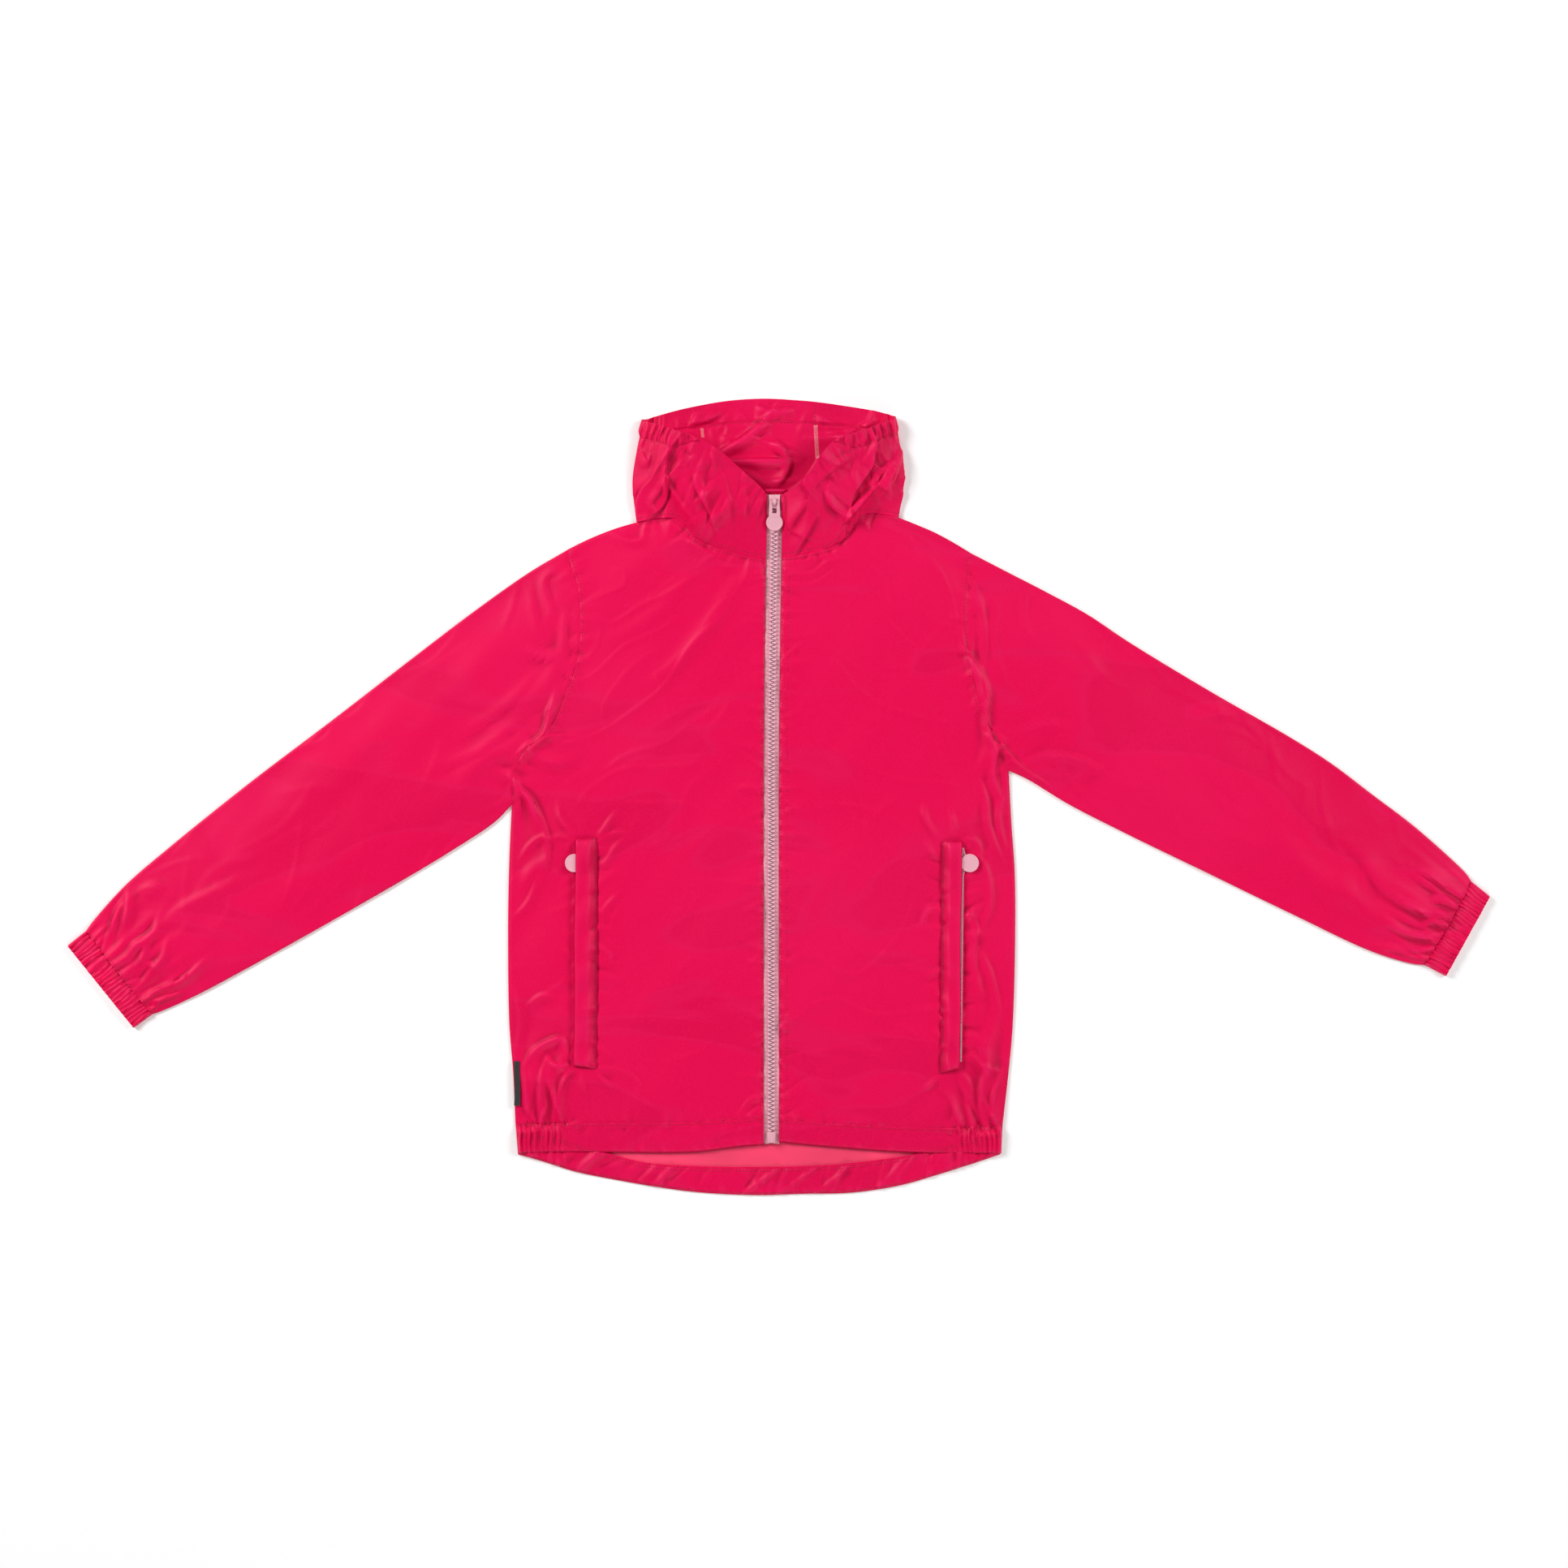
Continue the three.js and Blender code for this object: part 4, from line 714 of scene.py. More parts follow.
def build_sheet(name, columns, rows, place, size, up=True, round_=False):
    """A sheet of quads placed by a function of its shares, with the weave's own map in metres."""
    bm = bmesh.new()
    weave = bm.loops.layers.uv.new("weave")
    bmesh.ops.create_grid(bm, x_segments=columns, y_segments=rows, size=0.5)
    bm.verts.ensure_lookup_table()
    u = np.array([v.co.x + 0.5 for v in bm.verts])
    v = np.array([v.co.y + 0.5 for v in bm.verts])
    for face in bm.faces:
        for loop in face.loops:
            loop[weave].uv = (
                (loop.vert.co.x + 0.5) * size[0] * MM,
                (loop.vert.co.y + 0.5) * size[1] * MM,
            )
    xyz = place(u, v)
    # Each point's height over its surroundings, which the materials turn into painted shade in hollows
    # and a painted highlight on ridges.
    relief_layer = bm.verts.layers.float.new("relief")
    stands = height_over_surroundings(u, v, xyz[:, 2], columns, rows, size)
    stands *= ease((xyz[:, 2] - 1.4) / 0.8) if up else -1
    for vert, co, stand in zip(bm.verts, xyz * MM, stands):
        vert.co = co
        vert[relief_layer] = stand
    if round_:
        bmesh.ops.remove_doubles(bm, verts=bm.verts, dist=2e-5)
    bm.normal_update()
    seen = [f for f in bm.faces if not round_ or f.calc_center_median().z > SOLE]
    if (sum(f.normal.z * f.calc_area() for f in seen) > 0) != up:
        bmesh.ops.reverse_faces(bm, faces=bm.faces)
    return stand_in_scene(name, mesh_of(name, bm))


def thicken(piece, outside, inside, thickness):
    """Gives a sheet its thickness inwards, with another finish on its inner side."""
    piece.data.materials.append(outside)
    piece.data.materials.append(inside)
    wall = piece.modifiers.new("cloth", "SOLIDIFY")
    wall.thickness = thickness * MM
    wall.offset = -1
    wall.use_quality_normals = True
    wall.material_offset = 1
    settle(piece)


def settle(piece, angle=50):
    """Applies a piece's modifiers and shades it smooth up to its sharp edges."""
    shown = piece.evaluated_get(bpy.context.evaluated_depsgraph_get())
    mesh = bpy.data.meshes.new_from_object(shown)
    piece.modifiers.clear()
    piece.data = mesh
    smooth(mesh, angle)


def smooth(mesh, angle):
    mesh.polygons.foreach_set("use_smooth", [True] * len(mesh.polygons))
    mesh.set_sharp_from_angle(angle=np.radians(angle))


def area_of(piece):
    return sum(p.area for p in piece.data.polygons)


def declare(piece, nodes, body="jacket"):
    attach(piece, body)
    if nodes:
        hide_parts(*nodes)
    return piece


def lay(
    piece, nodes, cut, fullness=1.0,
    outside="rain_cloth", inside="cloth_inside", thickness=None,
):
    """Declares a sheet of cloth by the size it was cut to, before any gathers."""
    flat = area_of(piece) * fullness
    cloth = bpy.context.scene.rain_jacket_cloth
    thicken(piece, finish(outside), finish(inside), thickness or cloth.thickness)
    declare(piece, nodes)
    size = [length * MM for length in cut]
    area = float(np.clip(flat, 0.3 * size[0] * size[1], size[0] * size[1]))
    min(cut) >= NARROWEST_SHEET
    return piece


def lay_trim(piece, node, cut, weave, thickness):
    """Declares a narrow woven piece with the same finish on both sides."""
    nodes = [node] if node else []
    return lay(piece, nodes, cut, 1.0, weave, weave, thickness)


# Materials.
class Number:
    """An output of a material's nodes: Python's arithmetic on it adds Math nodes."""

    def __init__(self, shader, socket):
        self.shader = shader
        self.socket = socket

    def _math(self, operation, *values):
        return self.shader.node("ShaderNodeMath", {"operation": operation}, values)

    def __add__(self, other):
        return self._math("ADD", self, other)

    __radd__ = __add__

    def __mul__(self, other):
        return self._math("MULTIPLY", self, other)

    __rmul__ = __mul__

    def __sub__(self, other):
        return self._math("SUBTRACT", self, other)

    def __rsub__(self, other):
        return self._math("SUBTRACT", other, self)

    def __pow__(self, other):
        return self._math("POWER", self, other)

    def between(self, low, high):
        """A smooth step from 0 at low to 1 at high."""
        return self.shader.node(
            "ShaderNodeMapRange",
            {"interpolation_type": "SMOOTHSTEP"},
            {"Value": self, "From Min": low, "From Max": high},
        )


class Shader:
    """A material whose nodes all come from one method."""

    def __init__(self, name):
        self.material = bpy.data.materials.new(name)
        self.material.use_nodes = True
        self.tree = self.material.node_tree
        self.surface = next(n for n in self.tree.nodes if n.type == "BSDF_PRINCIPLED")

    def _fill(self, socket, value):
        if isinstance(value, Number):
            self.tree.links.new(value.socket, socket)
        elif hasattr(value, "__len__") and len(value) == 3 and socket.type == "RGBA":
            socket.default_value = (*value, 1)
        else:
            socket.default_value = value

    def node(self, kind, settings=None, values=(), output=0):
        made = self.tree.nodes.new(kind)
        for key, value in (settings or {}).items():
            setattr(made, key, value)
        pairs = values.items() if isinstance(values, dict) else enumerate(values)
        for key, value in pairs:
            self._fill(made.inputs[key], value)
        return Number(self, made.outputs[output])

    def set(self, **values):
        for key, value in values.items():
            self._fill(self.surface.inputs[key.replace("_", " ")], value)

    def mix(self, factor, first, second):
        return self.node(
            "ShaderNodeMix",
            {"data_type": "RGBA"},
            {0: factor, 6: first, 7: second},
            output=2,
        )

    def place(self):
        return self.node("ShaderNodeTexCoord", output=3)

    def weave_map(self):
        return self.node("ShaderNodeUVMap", {"uv_map": "weave"})

    def relief(self):
        return self.node("ShaderNodeAttribute", {"attribute_name": "relief"}, output=2)

    def paint_shade_and_highlight(self, base, deep, pale):
        """Darker where the cloth dips under its surroundings, paler on its ridges."""
        relief = self.relief()
        base = self.mix(relief.between(-0.05, -0.9) * 0.85, base, deep)
        return self.mix(relief.between(0.15, 1.2) * 0.5, base, pale)

    def noise(self, where, scale, detail=2.0, rough=0.5, distortion=0.0):
        values = {"Vector": where, "Scale": scale, "Detail": detail}
        values.update({"Roughness": rough, "Distortion": distortion})
        return self.node("ShaderNodeTexNoise", None, values)

    def wave(self, where, scale, direction, distortion=0.0):
        settings = {"bands_direction": direction}
        values = {"Vector": where, "Scale": scale, "Distortion": distortion}
        return self.node("ShaderNodeTexWave", settings, values, output=1)

    def bump(self, height, strength, distance):
        values = {"Height": height, "Strength": strength, "Distance": distance}
        return self.node("ShaderNodeBump", None, values)


def tone(colour, share):
    return tuple(min(1, c * share) for c in colour)


def rain_cloth():
    """Thin satin polyester: a fine grain, faint marks where the layers touch, and a soft gloss."""
    cloth = bpy.context.scene.rain_jacket_cloth
    s = Shader("rain_cloth")
    where = s.place()
    weave = s.weave_map()
    grain = s.noise(where, 900, 3, 0.6)
    turned = s.node(
        "ShaderNodeMapping", None, {"Vector": where, "Rotation": (0, 0, -0.6), "Scale": (0.55, 1.5, 1)},
    )
    marks = s.noise(turned, 8, 2, 0.45, 1.2)
    # Random darker patches with sharp edges, and a thin painted highlight along their rims.
    darker_patches = marks.between(0.49, 0.53)
    painted_rim_highlight = darker_patches * (1 - marks.between(0.53, 0.56))
    broad = s.noise(where, 5, 1, 0.4)
    deep, pale = tone(cloth.shell_colour, 0.86), cloth.shell_pale_and_highlight
    painted_fold_shade = tone(cloth.shell_colour, 0.58)
    base = s.mix(darker_patches * 0.5, cloth.shell_colour, deep)
    base = s.mix(painted_rim_highlight * 0.2, base, pale)
    base = s.mix(broad.between(0.4, 0.7) * 0.18, base, pale)
    base = s.mix(grain.between(0.35, 0.75) * 0.3, base, pale)
    # Painted shade in the hollows and a painted highlight on the ridges, read from the relief
    # attribute.
    base = s.paint_shade_and_highlight(base, painted_fold_shade, pale)
    pitch = 1 / (cloth.weave_pitch * MM)
    threads = s.wave(weave, pitch / 2, "X") + s.wave(weave, pitch / 2, "Y")
    height = grain * 0.7 + threads * 0.15
    s.set(Base_Color=base, Roughness=0.38 + grain * 0.1, Normal=s.bump(height, 0.2, 0.0003))
    s.set(Specular_IOR_Level=0.28, Specular_Tint=(1, 0.4, 0.55))
    return s.material


def cloth_inside():
    """The coated inner side: paler and duller."""
    cloth = bpy.context.scene.rain_jacket_cloth
    s = Shader("cloth_inside")
    where = s.place()
    grain = s.noise(where, 700, 3, 0.6)
    broad = s.noise(where, 14, 2, 0.5, 0.8)
    base = s.mix(broad.between(0.35, 0.7), cloth.inside_colour, tone(cloth.inside_colour, 0.86))
    # Painted shade in the hollows and a painted highlight on the ridges.
    base = s.paint_shade_and_highlight(base, tone(cloth.inside_colour, 0.6), tone(cloth.inside_colour, 1.1))
    s.set(Base_Color=base, Roughness=0.5 + grain * 0.15, Normal=s.bump(grain, 0.2, 0.0002))
    s.set(Specular_IOR_Level=0.4)
    return s.material


def tape_weave():
    """Woven zip tape: a fine herringbone along its length."""
    trim = bpy.context.scene.rain_jacket_zip
    s = Shader("tape_weave")
    where = s.place()
    weave = s.weave_map()
    ribs = s.wave(weave, 380, "DIAGONAL")
    grain = s.noise(where, 1200, 2)
    base = s.mix(ribs * 0.5, trim.tape_colour, tone(trim.tape_colour, 0.86))
    base = s.mix(grain.between(0.4, 0.8) * 0.25, base, tone(trim.tape_colour, 1.12))
    # Painted shade on the tape where it dips under the teeth.
    base = s.mix(s.relief().between(-0.4, -0.8) * 0.9, base, trim.groove_painted_shade)
    s.set(Base_Color=base, Roughness=0.75 + grain * 0.1)
    s.set(Normal=s.bump(ribs * 0.6 + grain * 0.4, 0.35, 0.0002), Specular_IOR_Level=0.35)
    return s.material


def moulded(name, colour, rough):
    """Moulded plastic with a faint mottle and handling wear in its gloss."""
    s = Shader(name)
    where = s.place()
    mottle = s.noise(where, 160, 3)
    fine = s.noise(where, 1500, 2)
    base = s.mix(mottle.between(0.3, 0.75) * 0.35, colour, tone(colour, 0.9))
    s.set(Base_Color=base, Roughness=rough + mottle * 0.14, Normal=s.bump(fine, 0.12, 0.0001))
    s.set(Specular_IOR_Level=0.5)
    return s.material


def teeth_plastic():
    return moulded("teeth_plastic", bpy.context.scene.rain_jacket_zip.teeth_colour, 0.32)


def pull_plastic():
    return moulded("pull_plastic", bpy.context.scene.rain_jacket_zip.pull_colour, 0.36)


def label_weave():
    """Black woven tape with fine ribs."""
    s = Shader("label_weave")
    where = s.place()
    ribs = s.wave(where, 700, "Y")
    grain = s.noise(where, 1400, 2)
    base = s.mix(ribs * 0.6, (0.014, 0.013, 0.013), (0.045, 0.043, 0.042))
    s.set(Base_Color=base, Roughness=0.6 + grain * 0.2, Normal=s.bump(ribs, 0.4, 0.0002))
    return s.material


def sewing_thread():
    """Twisted thread, darker than the cloth it sinks into."""
    cloth = bpy.context.scene.rain_jacket_cloth
    s = Shader("sewing_thread")
    twist = s.noise(s.place(), 2500, 2)
    dark = tone(cloth.shell_colour, 0.42)
    base = s.mix(twist.between(0.3, 0.7), dark, tone(cloth.shell_colour, 0.6))
    s.set(Base_Color=base, Roughness=0.55 + twist * 0.2, Normal=s.bump(twist, 0.3, 0.0001))
    return s.material


def seam_tape():
    """The film over the hood's seams, seen from inside: paler and glossier than the cloth."""
    cloth = bpy.context.scene.rain_jacket_cloth
    s = Shader("seam_tape")
    grain = s.noise(s.place(), 500, 3)
    base = s.mix(grain.between(0.35, 0.7), cloth.seam_tape_colour, tone(cloth.seam_tape_colour, 0.85))
    s.set(Base_Color=base, Roughness=0.34 + grain * 0.1, Normal=s.bump(grain, 0.2, 0.0002))
    return s.material


def floor_paper():
    """A plain pale floor."""
    stage = bpy.context.scene.rain_jacket_stage
    s = Shader("floor_paper")
    grain = s.noise(s.place(), 40, 3)
    base = s.mix(grain * 0.15, stage.floor_colour, tone(stage.floor_colour, 0.99))
    s.set(Base_Color=base, Roughness=0.9 + grain * 0.05, Specular_IOR_Level=0.1)
    s.set(Emission_Color=(1, 1, 1), Emission_Strength=0.1)
    return s.material


MAKERS = {
    f.__name__: f
    for f in (
        rain_cloth, cloth_inside, tape_weave, teeth_plastic, pull_plastic, label_weave,
        sewing_thread, seam_tape, floor_paper,
    )
}


def finish(name):
    return bpy.data.materials.get(name) or MAKERS[name]()


# Body panels.
def across(u, crowding):
    """Shares across that crowd together at both ends."""
    return u - crowding * np.sin(2 * np.pi * u) / (2 * np.pi)


def make_front(name, near, far, bottom, top, zip_edge, cut):
    sheet = patch(near, far, bottom, top)

    def place(u, v):
        xy = sheet(u, v)
        z = front_height(xy)
        rim = np.min([line.near(xy)[0] for line in BODY_RIM], axis=0)
        z = FOLD_EDGE + (z - FOLD_EDGE) * rounded(rim)
        edge = zip_edge.near(xy)[0]
        z -= 1.3 * (1 - rounded(edge, 2.4))
        return np.column_stack([xy, z])

    piece = build_sheet(name, 126, 292, place, cut)
    return lay(piece, [name.removesuffix("_cloth")], cut)


def make_fronts():
    right = [(-12.3, -261), (-12.3, -200), (-12.3, -100), (-12.3, 0), (-11.6, 100), (-10.3, 193)]
    left = [(0.3, -262), (0.3, -200), (0.3, -100), (0.3, 0), (1.0, 100), (2.3, 194)]
    edge_right, edge_left = Line(right), Line(left)
    make_front(
        "front_right_cloth", Line(SIDE_RIGHT, ARMHOLE_RIGHT), edge_right, Line(HEM_SEAM_RIGHT),
        Line(SHOULDER_RIGHT, NECK_RIGHT), edge_right, (212, 492),
    )
    make_front(
        "front_left_cloth", edge_left, Line(SIDE_LEFT, ARMHOLE_LEFT), Line(HEM_SEAM_LEFT),
        Line(NECK_LEFT, SHOULDER_LEFT), edge_left, (194, 496),
    )


def make_back():
    near = Line([TAIL[0], SIDE_RIGHT[0]], SIDE_RIGHT, ARMHOLE_RIGHT)
    far = Line([TAIL[-1], SIDE_LEFT[0]], SIDE_LEFT, ARMHOLE_LEFT)
    top = Line(SHOULDER_RIGHT, NECK_BACK, SHOULDER_LEFT)
    sheet = patch(near, far, Line(TAIL), top)

    def place(u, v):
        xy = sheet(u, v)
        rim = np.min([line.near(xy)[0] for line in BODY_RIM], axis=0)
        z = under_height(xy) * ease(rim / 12) + (FOLD_EDGE - 0.1) * (1 - rounded(rim))
        return np.column_stack([xy, z])

    piece = build_sheet("back_cloth", 124, 158, place, (412, 555), up=False)
    return lay(piece, ["back"], (412, 555))


def gathers(share, count, seed, sharp=0.3):
    """Gathers side by side over a share from 0 to 1, no two alike."""
    rng = np.random.default_rng(seed)
    wave = np.zeros(len(share))
    for k in range(count):
        centre = (k + 0.5 + rng.uniform(-0.22, 0.22)) / count
        width = rng.uniform(0.75, 1.2) * sharp / count
        wave += rng.uniform(0.55, 1.05) * np.exp(-(((share - centre) / width) ** 2))
    return wave


def elastic(share, reach):
    """How strongly the elastic gathers a hem: full at its start, none past its reach."""
    return 1 - ease((share - 0.85 * reach) / (0.2 * reach))


def make_hem(name, seam, edge, outer_first, seed):
    def spread(u):
        v = u if outer_first else 1 - u
        past = (v - GATHERED_COLUMNS) / (1 - GATHERED_COLUMNS)
        gathered = v / GATHERED_COLUMNS * GATHERED
        v = np.where(v < GATHERED_COLUMNS, gathered, GATHERED + past * (1 - GATHERED))
        return v if outer_first else 1 - v

    def place(u, v):
        s = spread(u)
        from_end = s if outer_first else 1 - s
        xy = (1 - v[:, None]) * edge.at(s) + v[:, None] * seam.at(s)
        lean = from_end + 0.004 * np.sin(5 * v + 9 * from_end)
        pull = elastic(from_end, ELASTIC)
        wave = gathers(lean / ELASTIC, 9, seed) + 0.35 * gathers(lean / ELASTIC, 17, seed + 1)
        z = 4.4 + 0.5 * np.sin(np.pi * v) + 2.5 * pull * wave * (0.6 + 0.4 * v)
        z += puckered(xy, seam, seed + 2, 8, 11, 0.8, 0.4)
        z += puckered(xy, edge, seed + 3, 8, 9, 0.7, 0.1)
        z += 0.4 * swell(xy)
        joined = 1 - ease(seam.near(xy)[0] / 7)
        z += (front_height(xy) - 0.1 - z) * joined
        low = edge.near(xy)[0]
        z = 2.6 + (z - 2.6) * rounded(low, 2.2)
        end = from_end * seam.length
        z = 1.8 + (z - 1.8) * rounded(end, 2.5)
        return np.column_stack([xy, z])

    piece = build_sheet(name, 230, 22, place, (seam.length, 26))
    cut = (seam.length * 1.18, 27)
    return lay(piece, [name.removesuffix("_cloth")], cut, 1.05)


def make_tail():
    seam, edge = Line(TAIL_SEAM), Line(TAIL)

    def place(u, v):
        xy = (1 - v[:, None]) * edge.at(u) + v[:, None] * seam.at(u)
        wave = gathers(u / 0.11, 7, 71) + gathers((1 - u) / 0.11, 7, 72)
        z = 2.3 + 0.35 * np.sin(np.pi * v) + 1.3 * wave
        z += puckered(xy, seam, 73, 8, 20, 1.5, 0.3, 0.7)
        z += puckered(xy, edge, 74, 8, 12, 0.9, 0.2)
        low = edge.near(xy)[0]
        z = 0.8 + (z - 0.8) * rounded(low, 2.0)
        top = seam.near(xy)[0]
        z = 1.6 + (z - 1.6) * rounded(top, 1.4)
        return np.column_stack([xy, z])

    piece = build_sheet("hem_back_cloth", 260, 16, place, (seam.length, 22))
    return lay(piece, ["hem_back"], (seam.length * 1.1, 24), 1.02)


def make_hems():
    make_hem("hem_front_right_cloth", Line(HEM_SEAM_RIGHT), Line(HEM_EDGE_RIGHT), True, 31)
    make_hem("hem_front_left_cloth", Line(HEM_SEAM_LEFT), Line(HEM_EDGE_LEFT), False, 41)
    make_tail()


# Sleeves and cuffs.
def ring(u):
    """A tube's way round: over the top to the far edge, and back below. Gives share and side."""
    above = u <= TOP_SHARE
    over = across(np.clip(u / TOP_SHARE, 0, 1), TUBE_EDGE)
    below = 1 - across(np.clip((u - TOP_SHARE) / (1 - TOP_SHARE), 0, 1), TUBE_EDGE)
    return np.where(above, over, below), above


def make_tube(name, columns, rows, plan, top, bottom, cut, fullness):
    def place(u, v):
        share, above = ring(u)
        xy = plan(share, v)
        width = np.linalg.norm(plan(np.zeros(len(v)), v) - plan(np.ones(len(v)), v), axis=1)
        roll = rounded(np.minimum(share, 1 - share) * width)
        high = FOLD_EDGE + (top(xy, share, v) - FOLD_EDGE) * roll
        low = FOLD_EDGE + (bottom(xy, share, v) - FOLD_EDGE) * roll
        return np.column_stack([xy, np.where(above, high, low)])

    piece = build_sheet(name, columns, rows, place, cut, True, True)
    return lay(piece, [name.removesuffix("_cloth")], cut, fullness)


def make_sleeve(name, armhole, over, under, seed, cut):
    hole = Line(list(reversed(armhole)))
    over_line, under_line = Line(over), Line(under)

    def straight(share, v):
        return over_line.at(v) * (1 - share[:, None]) + under_line.at(v) * share[:, None]

    def plan(share, v):
        cap = hole.at(share) - straight(share, np.zeros(len(share)))
        return straight(share, v) + cap * (1 - ease(v / CAP_REACH))[:, None]

    def lift(share, v):
        near = np.maximum(0, 1 - (1 - v) / 0.16)
        return near * np.sin(np.pi * share) * gathers(share, 8, seed)

    def top(xy, share, v):
        return front_height(xy) + 2.8 * lift(share, v)

    def bottom(xy, share, v):
        return under_height(xy) + 0.8 * lift(share, v)

    return make_tube(name, 152, 192, plan, top, bottom, cut, 1.0)


def make_cuff(name, over, under, end, seed):
    seam = np.array([over[-1], under[-1]], float)
    edge = np.array(end, float)

    def plan(share, v):
        top = seam[0] + (edge[0] - seam[0]) * v[:, None]
        low = seam[1] + (edge[1] - seam[1]) * v[:, None]
        return top * (1 - share[:, None]) + low * share[:, None]

    def wave(share, v):
        lean = share + 0.006 * np.sin(4 * v + 20 * share)
        strong = 0.7 + 0.3 * np.cos(2 * np.pi * v)
        return strong * (1.6 * gathers(lean, 25, seed) + 0.9 * gathers(lean, 46, seed + 1, 0.36))

    def top(xy, share, v):
        rise = 0.5 * ease(np.minimum(share, 1 - share) * 5)
        return 3.4 + rise + wave(share, v) - 0.4 * np.exp(-((v / 0.06) ** 2))

    def bottom(xy, share, v):
        return 0.45 * wave(share, v)

    around = 2 * np.linalg.norm(seam[0] - seam[1])
    cut = (around * 1.3, 22)
    return make_tube(name, 400, 26, plan, top, bottom, cut, 1.0)


def make_sleeves():
    make_sleeve("sleeve_right_cloth", ARMHOLE_RIGHT, OVERARM_RIGHT, UNDERARM_RIGHT, 51, (440, 505))
    make_sleeve("sleeve_left_cloth", ARMHOLE_LEFT, OVERARM_LEFT, UNDERARM_LEFT, 52, (380, 500))
    make_cuff("cuff_right_cloth", OVERARM_RIGHT, UNDERARM_RIGHT, CUFF_RIGHT, 61)
    make_cuff("cuff_left_cloth", OVERARM_LEFT, UNDERARM_LEFT, CUFF_LEFT, 65)


# Hood.
V_STEPS = 100
STATION_STEPS = 16


def hood_table():
    """The hood's middle surface as a fine table of places by height and station."""
    shares = np.linspace(0, 1, V_STEPS + 1)
    levels = zip(*(Line(row).at(shares) for row in HOOD))
    return np.stack([smooth_points(level, STATION_STEPS) for level in levels])


def hood_surface(station, v, table):
    """Places on the hood's middle surface."""
    i = np.clip(v, 0, 1) * V_STEPS
    j = np.clip(station, 0, LAST_STATION) * STATION_STEPS
    i0 = np.minimum(i.astype(int), V_STEPS - 1)
    j0 = np.minimum(j.astype(int), LAST_STATION * STATION_STEPS - 1)
    a, b = (i - i0)[:, None], (j - j0)[:, None]
    near = table[i0, j0] * (1 - b) + table[i0, j0 + 1] * b
    far = table[i0 + 1, j0] * (1 - b) + table[i0 + 1, j0 + 1] * b
    return near * (1 - a) + far * a


def casing_start(station):
    """How far up the hood its casing starts: at the very tip at both temples."""
    inward = np.minimum(station - PEAK_RIGHT, PEAK_LEFT - station)
    start = CASING_TIP + (CASING_START - CASING_TIP) * np.clip(inward, 0, 1)
    return np.where(inward < -1e-6, 1.0, start)


def hood_outside(station, v, table):
    """The outer side of the hood's cloth and the way it faces."""
    step = 0.012
    low, high = np.clip(v - step, 0, 1), np.clip(v + step, 0, 1)
    back, on = np.clip(station - 0.1, 0, LAST_STATION), np.clip(station + 0.1, 0, LAST_STATION)
    up = hood_surface(station, high, table) - hood_surface(station, low, table)
    along = hood_surface(on, v, table) - hood_surface(back, v, table)
    facing = np.cross(up, along)
    facing /= np.linalg.norm(facing, axis=1)[:, None] + 1e-12
    return hood_surface(station, v, table), facing


# The hem of the casing, from station to station, each with its seed.
TEMPLES = [(PEAK_RIGHT, SIDE_STATION_RIGHT, 85), (SIDE_STATION_LEFT, PEAK_LEFT, 86)]
CROWN = [
    (SIDE_STATION_RIGHT, CROWN_FROM, 87),
    (CROWN_FROM, CROWN_TO, 88),
    (CROWN_TO, SIDE_STATION_LEFT, 89),
]


def hood_relief(xyz, station, facing):
    """Creases of the hood: those seen from outside in front, those seen from inside behind."""
    xy = xyz[:, :2]
    front = 1 - ease((np.minimum(station, LAST_STATION - station) - 7.4) / 1.2)
    outside = 1.5 * creased(xy, HOOD_CREASES) + creased(xy, HOOD_SCATTER)
    outside += 1.25 * creased(xy, HOOD_LIPS, 0.5, 9)
    for line, seed, spacing, reach, height in PUCKERED[3:5]:
        outside += puckered(xy, line, seed, spacing, reach, height)
    for first, last, seed in TEMPLES:
        outside += puckered(xy, hood_line(first, last, CASING_START), seed, 5.5, 10, 1.4)
    inside = 2.6 * creased(xy, INSIDE_CREASES, 0.6, 2.2) + 1.6 * creased(xy, INSIDE_SCATTER)
    inside += 0.25 * (1 + np.sin(xy[:, 0] / 9 + 2) * np.sin(xy[:, 1] / 13))
    towards = np.clip(3 * facing[:, 2], -1, 1)[:, None]
    for first, last, seed in CROWN:
        inside += puckered(xy, hood_line(first, last, CASING_START - 0.02), seed, 7, 8, 1.0, 0.9)
    return facing * towards * (outside * front + inside * (1 - front))[:, None]


def make_hood_piece(name, first, last, low, high, grid, cut, extra=None):
    """A part of the hood between two stations and two heights, with gathers of its own."""
    table = hood_table()
    columns, rows = grid

    def place(u, v):
        station = first + (last - first) * u
        share = low(station) + (high(station) - low(station)) * v
        xyz, facing = hood_outside(station, share, table)
        xyz = xyz + 0.6 * facing + hood_relief(xyz, station, facing)
        if extra:
            xyz = xyz + facing * extra(station, v)[:, None]
        xyz[:, 2] = np.maximum(xyz[:, 2], 0.5 * ease(3 * facing[:, 2]))
        return xyz

    piece = build_sheet(name, columns, rows, place, cut, up=True)
    table_facing = hood_outside(np.array([(first + last) / 2.0]), np.array([0.5]), table)[1][0]
    middle = piece.data.polygons[len(piece.data.polygons) // 2 + columns // 2]
    if middle.normal.dot(Vector(table_facing)) < 0:
        piece.data.flip_normals()
    nodes = [name.removesuffix("_cloth")]
    return lay(piece, nodes, cut, inside="rain_cloth")


